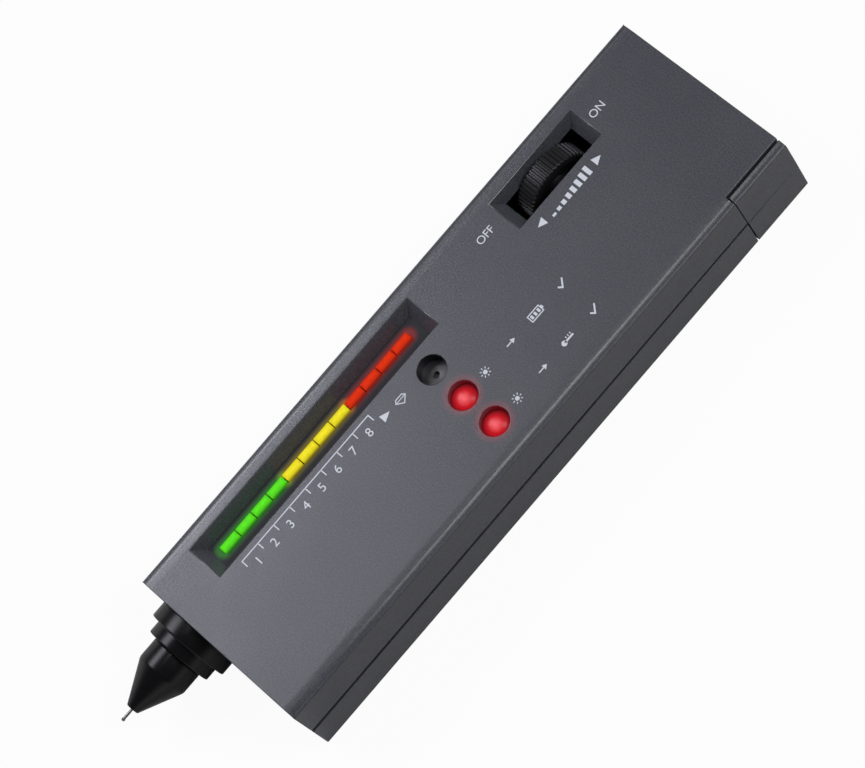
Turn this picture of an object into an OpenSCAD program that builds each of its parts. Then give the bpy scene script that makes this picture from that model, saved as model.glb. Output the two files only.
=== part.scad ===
// Handheld thermal diamond tester.
// The flat case lies on its back with the display face up.
// The probe nose points to -Y and the battery door closes the +Y end.
// The origin is at the bottom centre of the whole tester.

/* [Case] */
// Width of the case at the parting line
case_w = 44.75; // [44.25:0.25:47.5]
// Length of the case without the probe nose
case_l = 146.6; // [145:0.2:156]
// Height of the parting line, which is also the height of the probe axis
seam_z = 9.5; // [9.3:0.1:9.5]
// Thickness of the side walls and end walls
wall = 2.1; // [1.9:0.1:2.2]
// Thickness of the display face and of the back
skin = 1.5; // [1.2:0.1:1.6]
// Radius of the long edges beside the display face
edge_round = 0.5; // [0.3:0.1:0.8]
// Width of the strip along each long edge in which the display face curves down
crown_w = 3.2; // [2.6:0.1:3.4]
// How far the display face curves down at its long edges
crown_drop = 0.5; // [0.3:0.1:0.7]
// How far the upper side walls lean inwards
wall_lean = 0.25; // [0.1:0.05:0.4]
// Radius of the long edges at the back
foot_round = 0.3; // [0.2:0.1:0.8]
// Radius of the upright corners
corner_round = 0.3; // [0.2:0.1:0.8]
// Height of the shadow groove along the parting line
groove_h = 1; // [0.4:0.1:1.2]
// Depth of the shadow groove along the parting line
groove_d = 0.7; // [0.4:0.1:0.8]
// Thickness of the tongue that lines up the two shells
tongue_t = 0.8; // [0.6:0.1:0.9]
// Height of the tongue above the parting line
tongue_h = 1.2; // [0.8:0.1:1.5]

/* [Battery door] */
// Length of the door along the case
door_l = 15.3; // [13:0.1:16]
// Gap that shows between the door and the ends of the shells
door_gap = 0.25; // [0.2:0.05:0.6]
// Gap that shows between the door's edge strip and the display face
strip_gap = 0.55; // [0.4:0.05:0.7]
// Length of the lips that slide inside the shell walls
lip_l = 6; // [4:0.5:6]
// Thickness of those lips
lip_t = 0.7; // [0.5:0.05:0.8]
// Number of finger grooves under the door
grip_count = 5; // [3:1:6]
// Spacing of the finger grooves
grip_pitch = 2; // [1.6:0.1:2.2]
// Width of one finger groove
grip_w = 0.9; // [0.6:0.1:1.2]
// Length of one finger groove
grip_l = 20; // [14:1:24]

/* [Bar display] */
// Distance from the probe end of the case to the window
bar_window_y = 10.9; // [10.6:0.1:12]
// Place of the window's middle across the case, as a share of the width from the left
bar_share = 0.1855; // [0.182:0.0005:0.19]
// Length of the window in the display face
bar_window_l = 66; // [65.6:0.1:68]
// Width of the window in the display face
bar_window_w = 9.05; // [8.6:0.05:9.2]
// Depth of the sloping window walls
pocket_depth = 3; // [2.6:0.1:3.2]
// How far the end walls of a window slope inwards
pocket_end_in = 2.5; // [1.5:0.1:2.6]
// How far the side walls of the bar window slope inwards
pocket_side_in = 1.6; // [1:0.1:1.8]
// Number of light segments
bar_count = 12; // [10:1:12]
// Spacing of the light segments
bar_pitch = 4.72; // [4.6:0.02:4.76]
// Length of one light segment
bar_seg_l = 4.5; // [4.2:0.05:4.55]
// Width of one light segment
bar_seg_w = 1.75; // [1.6:0.05:2.2]
// Distance from the probe end of the case to the first segment
bar_row_y = 15.1; // [14.6:0.1:15.4]
// How far the segments lie below the display face
bar_sink = 2; // [1.6:0.1:2.4]
// Thickness of the mask around the segments
mask_t = 1; // [0.8:0.1:1.2]

/* [Lamps and sound hole] */
// Diameter of the three round holes
hole_d = 6.3; // [6.3:0.1:6.6]
// Place of the row of holes along the case, as a share of the length from the probe end
hole_row_share = 0.4707; // [0.465:0.0005:0.476]
// Place of the sound hole across the case, as a share of the width from the left
sound_share = 0.41; // [0.407:0.0005:0.415]
// Spacing of the holes, as a share of the width
hole_pitch_share = 0.1955; // [0.19:0.0005:0.199]
// Diameter of a lamp
lamp_d = 6.1; // [5.9:0.1:6.1]
// Height of a lamp above the board
lamp_h = 9.1; // [8.9:0.1:9.3]
// How far the top of a lamp lies below the display face
lamp_sink = 0.2; // [0.1:0.1:0.5]
// Height of the lamps' rounded tops
lamp_cap_h = 1.3; // [1:0.1:2]
// Diameter of the buzzer
buzzer_d = 8.4; // [8:0.1:8.6]
// How far the top of the buzzer lies below the display face
buzzer_sink = 3.1; // [2.8:0.1:3.6]

/* [Thumbwheel] */
// Diameter of the wheel over its ribs
wheel_d = 16.8; // [15:0.2:17.4]
// Thickness of the wheel
wheel_t = 4.2; // [3.8:0.1:4.2]
// How far the wheel stands above the display face
wheel_proud = 0.4; // [0.2:0.1:0.8]
// Distance from the far end of the case to the wheel axis
wheel_from_end = 32.6; // [32:0.1:34]
// Number of ribs on the rim
wheel_ribs = 48; // [36:1:60]
// Depth of the grooves between the ribs
rib_depth = 0.3; // [0.2:0.05:0.4]
// Length of the window in the display face
wheel_window_l = 25; // [24:0.1:25.4]
// Width of the window in the display face
wheel_window_w = 8.85; // [8.7:0.05:9]
// How far the side walls of the wheel window slope inwards
wheel_side_in = 1.4; // [1:0.1:1.5]
// How far the middle of the window lies beside the middle of the wheel
wheel_window_shift = 0.45; // [0.2:0.05:0.5]
// Depth of the potentiometer
pot_t = 3.4; // [3:0.1:3.8]
// Diameter of the potentiometer shaft
shaft_d = 3; // [2.6:0.1:3.4]

/* [Probe nose] */
// Place of the probe axis across the case, as a share of the width from the left
nose_share = 0.265; // [0.26:0.0005:0.28]
// Diameter of the wide ring at the case
ring_d = 18.3; // [17:0.1:18.5]
// Length of the wide ring
ring_l = 3.8; // [3:0.1:4.5]
// Diameter of the middle ring
step_d = 14.9; // [14:0.1:15.6]
// Length of the middle ring
step_l = 2.85; // [2.4:0.05:3.4]
// Diameter of the straight part of the nose
barrel_d = 11.4; // [11:0.1:12]
// Length of the straight part of the nose
barrel_l = 5; // [4.5:0.1:6]
// Length of the tapered part of the nose
cone_l = 9; // [8.6:0.1:10]
// Diameter of the nose at its tip
tip_d = 2.7; // [2.6:0.1:3.2]
// Diameter of the needle
needle_d = 0.55; // [0.4:0.05:0.6]
// How far the needle stands out of the nose
needle_out = 3.05; // [2.5:0.05:3.5]
// How far the needle can be pressed in
press = 1.5; // [1:0.1:1.6]
// Diameter of the needle holder in the nose tip
stem_d = 1.6; // [1.4:0.1:1.8]
// Wire diameter of the return spring
spring_wire_d = 0.45; // [0.3:0.05:0.5]
// Middle diameter of the return spring
spring_d = 4.1; // [3.8:0.1:4.3]
// Number of curls of the return spring
spring_curls = 6; // [5:1:6]

/* [Battery] */
// Width of the block battery
battery_w = 26; // [25.6:0.1:26.2]
// Thickness of the block battery, which sets the height of the case
battery_t = 17; // [16.6:0.1:17.4]
// Free height over the block battery
battery_room = 0.4; // [0.3:0.1:0.8]
// Length of the block battery without its studs
battery_l = 46.2; // [45.5:0.1:46.4]
// Spacing of its two studs
stud_pitch = 12.7; // [12.5:0.1:12.9]
// Height of its studs
stud_h = 2.3; // [2:0.1:2.6]
// Diameter of the plain stud
stud_d = 5.7; // [5.5:0.1:5.9]
// Thickness of the snap connector
snap_t = 3; // [2.6:0.1:3.2]
// Thickness of the rib beside the battery
bay_rib_t = 1; // [0.8:0.1:1]

/* [Circuit board and screws] */
// Thickness of the circuit board
board_t = 1.6; // [1.2:0.1:1.6]
// Distance from the probe end of the case to the board
board_y = 9; // [8.6:0.1:9.4]
// Diameter of the posts for the case screws
post_d = 6.4; // [6.2:0.1:6.6]
// Shank diameter of a case screw
screw_d = 2.4; // [2.2:0.1:2.6]
// Head diameter of a case screw
screw_head_d = 4.2; // [4:0.1:4.4]
// Head height of a case screw
screw_head_h = 1.5; // [1.2:0.1:1.6]
// Length of a case screw under its head
screw_l = 13; // [12:0.5:13.5]
// Depth of the sunk seat of a case screw
screw_seat = 2.2; // [2:0.1:2.4]
// Diameter of the posts for the board screws
board_post_d = 4; // [3.6:0.1:4.4]
// Shank diameter of a board screw
board_screw_d = 1.6; // [1.4:0.1:1.8]
// Length of a board screw under its head
board_screw_l = 6; // [5:0.5:7]

/* [Clearances] */
// Gap round pieces that are pushed together
fit = 0.05; // [0.03:0.01:0.08]
// Gap round pieces that are dropped in
slack = 0.25; // [0.2:0.05:0.3]
// Gap beside pieces that turn
turn_gap = 0.4; // [0.3:0.05:0.5]

/* [Hidden] */
$fn = 64;

// Overlap that keeps cuts open at their faces
over = 1;

// Height of the case from its back to the display face
case_h = battery_t + 2 * skin + battery_room;

// Whole length and the place of the case's probe end
nose_l = ring_l + step_l + barrel_l + cone_l;
total_l = case_l + nose_l + needle_out;
front_y = total_l / 2 - case_l;

// Case, whose face ends in an arc that meets a small round at each long edge
half_w = case_w / 2;
crown_x = half_w - wall_lean - crown_w;
crown_r = (pow(crown_w, 2) + pow(crown_drop, 2)) / (2 * crown_drop);
edge_x = half_w - wall_lean - edge_round;
edge_turn = asin((edge_x - crown_x) / (crown_r - edge_round));
edge_z = case_h - crown_r + (crown_r - edge_round) * cos(edge_turn);
inner_x = half_w - wall;
face_under = case_h - skin;
door_y = case_l - door_l;
plate_x1 = inner_x - strip_gap;
lip_pocket_t = lip_t + slack;
lip_z0 = skin + 2 * slack;
lip_drop = 1.6;
lip_z1 = face_under - lip_drop;
floor_drop = 0.3;
door_floor = skin - floor_drop;

// Windows
bar_x = bar_share * case_w - half_w;
bar_mid_y = bar_window_y + bar_window_l / 2;
pocket_z = case_h - pocket_depth;
bar_third = floor(bar_count / 3);
bar_row_l = (bar_count - 1) * bar_pitch + bar_seg_l;
mask_edge = 0.8;
mask_l = bar_window_l - 2 * pocket_end_in + 2 * mask_edge;
mask_w = bar_window_w - 2 * pocket_side_in + 2 * mask_edge;
skirt_t = 1;
hole_rim = 0.8;
hole_row_y = hole_row_share * case_l;
sound_x = sound_share * case_w - half_w;
hole_pitch = hole_pitch_share * case_w;

// Battery and what lies in front of it
battery_x1 = inner_x - slack;
battery_x = battery_x1 - battery_w / 2;
battery_y = case_l - wall - slack - battery_l;
battery_edge = 2;
snap_y = battery_y - stud_h - 2 * fit - snap_t;
snap_w = 24;
snap_h = 12;
contact_h = stud_h - fit;
crown_t = 0.9;
bay_rib_x = battery_x1 - battery_w - slack - bay_rib_t;

// Thumbwheel and potentiometer in the width left of the battery, most of the spare width outside
wheel_spare = bay_rib_x + inner_x - wheel_t - turn_gap - pot_t;
wheel_x = 0.742 * wheel_spare + wheel_t / 2 - inner_x;
pot_x0 = wheel_x + wheel_t / 2 + turn_gap;
pot_x1 = pot_x0 + pot_t;
wheel_y = case_l - wheel_from_end;
wheel_z = case_h + wheel_proud - wheel_d / 2;
wheel_window_x = wheel_x + wheel_window_shift;
pot_d = 2 * (pocket_z - slack - wheel_z);
hub_d = shaft_d + 3;
wheel_dish = 0.9;
pot_bore_l = 0.68 * pot_t;
shaft_seat = 0.4;
wheel_screw_d = 1.6;
wheel_screw_head_d = 3.2;
wheel_screw_head_h = 0.8;
wheel_screw_l = 2.4;

// Flange and guide of the nose inside the case
flange_t = 2.3;
guide_back_t = 1;

// Circuit board
board_top = case_h - lamp_sink - lamp_h;
board_z = board_top - board_t;
board_half = inner_x - turn_gap;
post_r = post_d / 2;
mid_post_y = snap_y - 2 * slack - post_r;
board_end = mid_post_y - post_r - 2 * slack;
tongue_x1 = pot_x1;
tongue_end = wheel_y - wheel_d / 2 - 2 * turn_gap;
post_x = inner_x - post_r - 2 * fit;
front_post_y = wall + flange_t + guide_back_t + post_r + turn_gap;
posts = [
  [post_x, front_post_y],
  [-post_x, front_post_y],
  [post_x, mid_post_y],
  [wheel_x, door_y - post_r - 2 * slack]
];
pilot_spare = 0.8;
pilot_l = screw_l - (seam_z - screw_seat) + pilot_spare;
board_l = board_end - board_y;
board_post_x = board_half - 0.8 * board_post_d;
board_posts = [
  [board_post_x, board_y + 0.144 * board_l],
  [board_post_x, board_y + 0.57 * board_l],
  [0, board_end - 0.9 * board_post_d]
];
chip_w = 6.4;
chip_h = 3.3;
chip_pitch = 2.54;
board_screw_head_d = 3;
board_screw_head_h = 1.2;

// Probe nose, with distances counted outwards from the end face of the case
nose_x = nose_share * case_w - half_w;
neck_d = 13;
flange_d = 2 * (min(seam_z - skin, face_under - seam_z) - slack);
cavity_d = 6;
spigot_d = 9.1;
spigot_u = 1;
guide_d = 7;
guide_back_d = 10;
guide_front_u = 3;
ring_end = ring_l + step_l;
barrel_end = ring_end + barrel_l;
seat_u = barrel_end + 2.9;
shoulder_d = 5.2;
shoulder_t = 1.5;
stem_end = nose_l - 0.8;
needle_root = 1.8;
tail_d = 2.4;
tail_end = 0.5 - press;
heater_d = 4.6;
heater_l = 3.5;
spring_u1 = seat_u - fit - shoulder_t - heater_l - fit;
spring_u0 = guide_front_u + fit;
edge_cut = 0.3;

// Probe leads: distance along, share of the rise to the board, and height of the bow above that
probe_lead_d = 0.9;
probe_lead_side = 2;
probe_lead_route = [
  [0, 0, 0], [1.1, 0, 0], [2.1, 0.2, 0.16], [3, 0.6, 0.8], [4, 0.9, 1.3], [5.2, 1, 1.6],
  [6.2, 1, 1.7], [6.9, 1, 1.2], [7, 1, 0.5], [7, 1, 0]
];

// Snap leads: distance along and height above the board
snap_lead_d = 1.2;
snap_lead_side = 3;
snap_lead_route = [
  [0, 2], [-1.2, 2], [-2.8, 2.6], [-4.8, 3.2], [-6.8, 3.1], [-8.8, 2.5], [-9.9, 1.4], [-10, 0.6], [-10, 0]
];
lead_sides = 8;

// Points of an arc between two angles
arc_steps = 6;
function arc(centre, r, from, to, skip = 0) =
  [for (i = [skip:arc_steps]) let (a = from + (to - from) * i / arc_steps) centre + r * [cos(a), sin(a)]];

// Round tube along a route, with one fixed side direction that the route never follows
function unit(v) = v / norm(v);
function heading(p, i) = unit(p[min(i + 1, len(p) - 1)] - p[max(i - 1, 0)]);
function ring(p, i, r, n, side) =
  let (t = heading(p, i), a = unit(cross(t, side)), b = cross(t, a))
  [for (k = [0:n - 1]) p[i] + r * (cos(360 * k / n) * a + sin(360 * k / n) * b)];

module tube(p, d, n, side) {
  last = len(p) - 1;
  rings = [for (i = [0:last]) each ring(p, i, d / 2, n, side)];
  ends = [p[0], p[last]];
  c = len(rings);
  sides = [
    for (i = [0:last - 1], k = [0:n - 1])
      let (q = i * n + k, s = i * n + (k + 1) % n)
      each [[q, s, s + n], [q, s + n, q + n]]
  ];
  caps = [
    for (k = [0:n - 1])
      let (s = (k + 1) % n)
      each [[c, s, k], [c + 1, last * n + k, last * n + s]]
  ];
  polyhedron(concat(rings, ends), concat(sides, caps));
}

// Frames in which the pieces are drawn
module in_case() {
  translate([0, front_y, 0]) children();
}

module on_probe_axis() {
  in_case() translate([nose_x, 0, seam_z]) rotate([90, 0, 0]) children();
}

module on_wheel_axis() {
  in_case() translate([wheel_x, wheel_y, wheel_z]) rotate([0, 90, 0]) children();
}

module at_posts() {
  for (p = posts) translate([p[0], p[1], 0]) children();
}

// A place on the board, as shares of its half width and of its length
module on_board(u, v) {
  in_case() translate([u * board_half, board_y + v * board_l, board_top]) children();
}

module at_board_posts() {
  for (p = board_posts) translate([p[0], p[1], 0]) children();
}

// A box given by its lowest and highest corners
module span(low, high) {
  translate(low) cube(high - low);
}

// The outer form of the closed case
module case_section() {
  right = concat(
    arc([half_w - foot_round, foot_round], foot_round, -90, 0), [[half_w, seam_z]],
    arc([edge_x, edge_z], edge_round, 0, 90 - edge_turn),
    arc([crown_x, case_h - crown_r], crown_r, 90 - edge_turn, 90, 1)
  );
  polygon(concat(right, [for (i = [len(right) - 1:-1:0]) [-right[i][0], right[i][1]]]));
}

module case_plan() {
  translate([-half_w, corner_round]) square([case_w, case_l - 2 * corner_round]);
  translate([corner_round - half_w, 0]) square([case_w - 2 * corner_round, case_l]);
  for (x = [corner_round - half_w, half_w - corner_round], y = [corner_round, case_l - corner_round])
    translate([x, y]) circle(corner_round);
}

module case_form() {
  intersection() {
    translate([0, case_l, 0]) rotate([90, 0, 0]) linear_extrude(case_l) case_section();
    linear_extrude(case_h) case_plan();
  }
}

// Walls on the two sides and the probe end, between two insets
module wall_ring(outer, inner, z0, z1, y1) {
  difference() {
    span([outer - half_w, outer, z0], [half_w - outer, y1, z1]);
    span([inner - half_w, inner, z0 - over], [half_w - inner, y1 + over, z1 + over]);
  }
}

module shadow_groove() {
  wall_ring(-over, groove_d, seam_z - groove_h / 2, seam_z + groove_h / 2, case_l + over);
}

module lip_pockets() {
  for (s = [-1, 1])
    on_side(s) span(
      [inner_x - over, door_y - lip_l - slack, lip_z0 - slack],
      [inner_x + lip_pocket_t, door_y + over, lip_z1 + slack]
    );
}

// Mirror to the left side when s is -1
module on_side(s) {
  if (s < 0) mirror([1, 0, 0]) children();
  else children();
}

// A window pocket whose four walls slope inwards, centred on the origin at the display face
module sloped_pocket(l, w, end_in, side_in) {
  rise = pocket_depth + over;
  end_out = end_in * over / pocket_depth;
  side_out = side_in * over / pocket_depth;
  intersection() {
    rotate([90, 0, 0]) translate([0, 0, -l]) linear_extrude(2 * l) polygon([
      [side_in - w / 2, -pocket_depth], [w / 2 - side_in, -pocket_depth],
      [w / 2 + side_out, over], [-w / 2 - side_out, over]
    ]);
    rotate([90, 0, 90]) translate([0, 0, -l]) linear_extrude(2 * l) polygon([
      [end_in - l / 2, -pocket_depth], [l / 2 - end_in, -pocket_depth],
      [l / 2 + end_out, over], [-l / 2 - end_out, over]
    ]);
  }
}

module block(x, y, w, l, z0, z1) {
  span([x - w / 2, y - l / 2, z0], [x + w / 2, y + l / 2, z1]);
}

module upper_shell() {
  color("#3d3e43") in_case() difference() {
    union() {
      difference() {
        case_form();
        span([-half_w - over, -over, -over], [half_w + over, case_l + over, seam_z]);
        span([-inner_x, wall, 0], [inner_x, case_l + over, face_under]);
        span([plate_x1, door_y, 0], [half_w + over, case_l + over, case_h + over]);
        wall_ring(wall - tongue_t - fit, wall + over, 0, seam_z + tongue_h + fit, door_y + over);
      }
      block(
        bar_x, bar_mid_y, mask_w + 2 * skirt_t, mask_l + 2 * skirt_t,
        pocket_z - mask_t, face_under
      );
      block(
        wheel_window_x, wheel_y, wheel_window_w - 2 * wheel_side_in + 2 * skirt_t,
        wheel_window_l, pocket_z, face_under
      );
      for (i = [0:2])
        translate([sound_x + i * hole_pitch, hole_row_y, case_h - buzzer_sink])
          cylinder(d = hole_d + 2 * hole_rim, h = buzzer_sink - skin);
      at_posts() translate([0, 0, seam_z]) cylinder(d = post_d, h = face_under - seam_z);
      at_board_posts() translate([0, 0, board_top]) cylinder(d = board_post_d, h = face_under - board_top);
    }
    translate([bar_x, bar_mid_y, case_h])
      sloped_pocket(bar_window_l, bar_window_w, pocket_end_in, pocket_side_in);
    block(bar_x, bar_mid_y, mask_w + 2 * fit, mask_l + 2 * fit, pocket_z - mask_t - over, pocket_z);
    translate([wheel_window_x, wheel_y, case_h])
      sloped_pocket(wheel_window_l, wheel_window_w, pocket_end_in, wheel_side_in);
    for (i = [0:2])
      translate([sound_x + i * hole_pitch, hole_row_y, case_h - 2 * buzzer_sink])
        cylinder(d = hole_d, h = 3 * buzzer_sink);
    at_posts() translate([0, 0, seam_z - over]) cylinder(d = screw_d + 2 * fit, h = pilot_l + over);
    at_board_posts() translate([0, 0, board_top - over])
      cylinder(d = board_screw_d + 2 * fit, h = board_screw_l - board_t + pilot_spare + over);
    translate([nose_x, -over, seam_z]) rotate([-90, 0, 0])
      cylinder(d = neck_d + 2 * fit, h = wall + 2 * over);
    shadow_groove();
    lip_pockets();
  }
}

module lower_shell() {
  color("#3a3b40") in_case() difference() {
    union() {
      difference() {
        case_form();
        span([-half_w - over, -over, seam_z], [half_w + over, case_l + over, case_h + over]);
        span([-inner_x, wall, skin], [inner_x, case_l + over, case_h]);
        span([-half_w - over, door_y, -over], [half_w + over, case_l + over, case_h]);
      }
      wall_ring(wall - tongue_t, wall, seam_z - over, seam_z + tongue_h, door_y - lip_l - 2 * slack);
      at_posts() translate([0, 0, skin / 2]) cylinder(d = post_d, h = seam_z - skin / 2);
      span([bay_rib_x, snap_y, skin / 2], [bay_rib_x + bay_rib_t, door_y - lip_l, seam_z - slack]);
      pot_cradle();
    }
    at_posts() {
      translate([0, 0, -over]) cylinder(d = screw_head_d + 2 * slack, h = screw_seat + over);
      cylinder(d = screw_d + 2 * slack, h = seam_z + over);
    }
    translate([nose_x, -over, seam_z]) rotate([-90, 0, 0])
      cylinder(d = neck_d + 2 * fit, h = wall + 2 * over);
    shadow_groove();
    lip_pockets();
  }
}

// Two saddles that carry the potentiometer
module pot_cradle() {
  saddle_t = 1;
  saddle_half = 0.35 * pot_d;
  saddle_z = wheel_z - 0.35 * pot_d;
  difference() {
    for (x = [pot_x0 + 2 * fit, pot_x1 - saddle_t])
      span([x, wheel_y - saddle_half, skin / 2], [x + saddle_t, wheel_y + saddle_half, saddle_z]);
    translate([pot_x0 - over, wheel_y, wheel_z]) rotate([0, 90, 0])
      cylinder(d = pot_d + 2 * fit, h = pot_t + 2 * over);
  }
}

module case_screws() {
  color("silver") in_case() at_posts() {
    translate([0, 0, screw_seat - screw_head_h]) cylinder(d = screw_head_d, h = screw_head_h);
    translate([0, 0, screw_seat - screw_head_h / 2]) cylinder(d = screw_d, h = screw_l + screw_head_h / 2);
  }
}

module battery_door() {
  door_y0 = door_y + door_gap;
  left_top = seam_z - groove_h / 2;
  color("#3b3c41") in_case() difference() {
    union() {
      difference() {
        case_form();
        span([-half_w - over, -over, -over], [half_w + over, door_y0, case_h + over]);
        span([-inner_x, -over, door_floor], [inner_x, case_l - wall, case_h + over]);
        span([-inner_x, -over, face_under - slack], [inner_x, case_l + over, case_h + over]);
        span([-half_w - over, -over, left_top], [door_gap - inner_x, case_l + over, case_h + over]);
      }
      for (s = [-1, 1])
        on_side(s) span(
          [inner_x, door_y - lip_l, lip_z0],
          [inner_x + lip_t, door_y0 + over, s < 0 ? left_top - slack : lip_z1]
        );
    }
    for (i = [0:grip_count - 1])
      translate([-grip_l / 2, door_y + door_l / 2 + (i - (grip_count - 1) / 2) * grip_pitch, 0])
        rotate([0, 90, 0]) cylinder(d = grip_w, h = grip_l);
  }
}

// Turned pieces of the nose: points are radius and distance outwards
module nose_collar() {
  color("#17171a") on_probe_axis() rotate_extrude() polygon([
    [guide_d / 2 + fit, -wall - flange_t], [flange_d / 2, -wall - flange_t], [flange_d / 2, -wall],
    [neck_d / 2, -wall], [neck_d / 2, 0], [ring_d / 2, 0],
    [ring_d / 2, ring_l - edge_cut], [ring_d / 2 - edge_cut, ring_l], [step_d / 2, ring_l],
    [step_d / 2, ring_end - edge_cut], [step_d / 2 - edge_cut, ring_end],
    [spigot_d / 2 + fit, ring_end], [spigot_d / 2 + fit, spigot_u], [guide_d / 2 + fit, spigot_u]
  ]);
}

module nose_cone() {
  tip_round = 0.4;
  tip_r = tip_d / 2;
  color("#141416") on_probe_axis() rotate_extrude() polygon(concat(
    [
      [stem_d / 2 + fit, nose_l], [stem_d / 2 + fit, seat_u], [cavity_d / 2, seat_u],
      [cavity_d / 2, spigot_u], [spigot_d / 2, spigot_u], [spigot_d / 2, ring_end],
      [barrel_d / 2, ring_end], [barrel_d / 2, barrel_end]
    ],
    [for (a = [0:30:90]) [tip_r - tip_round + tip_round * cos(a), nose_l - tip_round + tip_round * sin(a)]]
  ));
}

module probe_guide() {
  color("#c9b48a") on_probe_axis() rotate_extrude() polygon([
    [tail_d / 2 + fit, guide_front_u], [tail_d / 2 + fit, -wall - flange_t - guide_back_t],
    [guide_back_d / 2, -wall - flange_t - guide_back_t], [guide_back_d / 2, -wall - flange_t],
    [guide_d / 2, -wall - flange_t], [guide_d / 2, spigot_u],
    [cavity_d / 2 - fit, spigot_u], [cavity_d / 2 - fit, guide_front_u]
  ]);
}

module probe_leads() {
  back = wall + flange_t + guide_back_t;
  rise = board_top - seam_z;
  route = [for (p = probe_lead_route) [nose_x, back + p[0], seam_z + rise * p[1] + p[2]]];
  color("firebrick") in_case()
    for (s = [-1, 1])
      translate([s * probe_lead_side, 0, 0]) tube(route, probe_lead_d, lead_sides, [1, 0, 0]);
}

module probe_needle() {
  shaft_r = needle_d / 2;
  ball_r = 0.8 * needle_d;
  root_u = stem_end - needle_root + fit;
  end_u = nose_l + needle_out;
  color("#b9bbc0") on_probe_axis() rotate_extrude($fn = 32) polygon(concat(
    [[0, root_u], [shaft_r, root_u], [shaft_r, end_u - 2 * ball_r]],
    [for (a = [0:18:90]) [ball_r * cos(a), end_u - ball_r + ball_r * sin(a)]]
  ));
}

module probe_core() {
  shoulder_u = seat_u - fit;
  color("#b87f4a") on_probe_axis() rotate_extrude() polygon([
    [0, tail_end], [tail_d / 2, tail_end], [tail_d / 2, shoulder_u - shoulder_t],
    [shoulder_d / 2, shoulder_u - shoulder_t], [shoulder_d / 2, shoulder_u],
    [stem_d / 2, shoulder_u], [stem_d / 2, stem_end],
    [needle_d / 2 + fit / 4, stem_end], [needle_d / 2 + fit / 4, stem_end - needle_root],
    [0, stem_end - needle_root]
  ]);
}

module probe_heater() {
  color("#e6e0d2") on_probe_axis() translate([0, 0, spring_u1 + fit]) difference() {
    cylinder(d = heater_d, h = heater_l);
    translate([0, 0, -over]) cylinder(d = tail_d + 2 * fit, h = heater_l + 2 * over);
  }
}

// Return spring as one unbroken wire
module probe_spring() {
  curl_rings = 8;
  wire_sides = 6;
  run = spring_u1 - spring_u0 - spring_wire_d;
  count = spring_curls * curl_rings;
  points = [
    for (i = [0:count])
      let (a = 360 * i / curl_rings)
      [spring_d / 2 * cos(a), spring_d / 2 * sin(a), spring_u0 + spring_wire_d / 2 + run * i / count]
  ];
  gap = min([for (i = [0:count - curl_rings]) norm(points[i + curl_rings] - points[i])]) - spring_wire_d;
  echo(spring_self_gap = gap);
  color("#9a9ca3") on_probe_axis() tube(points, spring_wire_d, wire_sides, [0, 0, 1]);
}

module circuit_board() {
  color("#2f6b3a") in_case() difference() {
    union() {
      span([-board_half, board_y, board_z], [board_half, board_end, board_top]);
      span([-board_half, board_y, board_z], [tongue_x1, tongue_end, board_top]);
    }
    at_posts() cylinder(d = post_d + 2 * turn_gap, h = case_h);
    at_board_posts() cylinder(d = board_screw_d + 2 * slack, h = case_h);
  }
}

module board_screws() {
  color("silver") in_case() at_board_posts() translate([0, 0, board_z]) {
    translate([0, 0, -board_screw_head_h]) cylinder(d = board_screw_head_d, h = board_screw_head_h);
    translate([0, 0, -board_screw_head_h / 2])
      cylinder(d = board_screw_d, h = board_screw_l + board_screw_head_h / 2);
  }
}

// Light segments from one index to another, each on its own foot
module bar_segments(first, last) {
  foot_h = 1;
  foot_w = 3;
  for (i = [first:last])
    translate([0, bar_row_y + bar_seg_l / 2 + i * bar_pitch, 0]) {
      block(bar_x, 0, bar_seg_w, bar_seg_l, board_top, case_h - bar_sink);
      block(bar_x, 0, foot_w, bar_seg_l, board_top, board_top + foot_h);
    }
}

module bar_mask() {
  color("#1d1d20") in_case() difference() {
    block(bar_x, bar_mid_y, mask_w, mask_l, pocket_z - mask_t, pocket_z);
    block(bar_x, bar_row_y + bar_row_l / 2, bar_seg_w + 2 * fit, bar_row_l + 2 * fit, 0, case_h);
  }
}

module bar_green() {
  color("#50f01e") in_case() bar_segments(0, bar_third - 1);
}

module bar_yellow() {
  color("#fae614") in_case() bar_segments(bar_third, 2 * bar_third - 1);
}

module bar_red() {
  color("#e6280f") in_case() bar_segments(2 * bar_third, bar_count - 1);
}

// A round lamp with its foot ring and dome
module lamp(x) {
  lamp_r = lamp_d / 2;
  foot_d = lamp_d + 0.8;
  foot_h = 1;
  cap_r = (pow(lamp_r, 2) + pow(lamp_cap_h, 2)) / (2 * lamp_cap_h);
  translate([x, hole_row_y, board_top]) {
    cylinder(d = foot_d, h = foot_h);
    cylinder(d = lamp_d, h = lamp_h - lamp_cap_h);
    translate([0, 0, lamp_h - lamp_cap_h]) intersection() {
      translate([0, 0, lamp_cap_h - cap_r]) sphere(cap_r);
      cylinder(d = lamp_d + over, h = lamp_d);
    }
  }
}

module battery_lamp() {
  color("#dc0f1e") in_case() lamp(sound_x + hole_pitch);
}

module ready_lamp() {
  color("#dc0f1e") in_case() lamp(sound_x + 2 * hole_pitch);
}

module buzzer() {
  port_d = 2;
  top = case_h - buzzer_sink;
  color("#1a1a1c") in_case() translate([sound_x, hole_row_y, board_top]) difference() {
    cylinder(d = buzzer_d, h = top - board_top);
    translate([0, 0, top - board_top - 1]) cylinder(d = port_d, h = 1 + over);
  }
}

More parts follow.
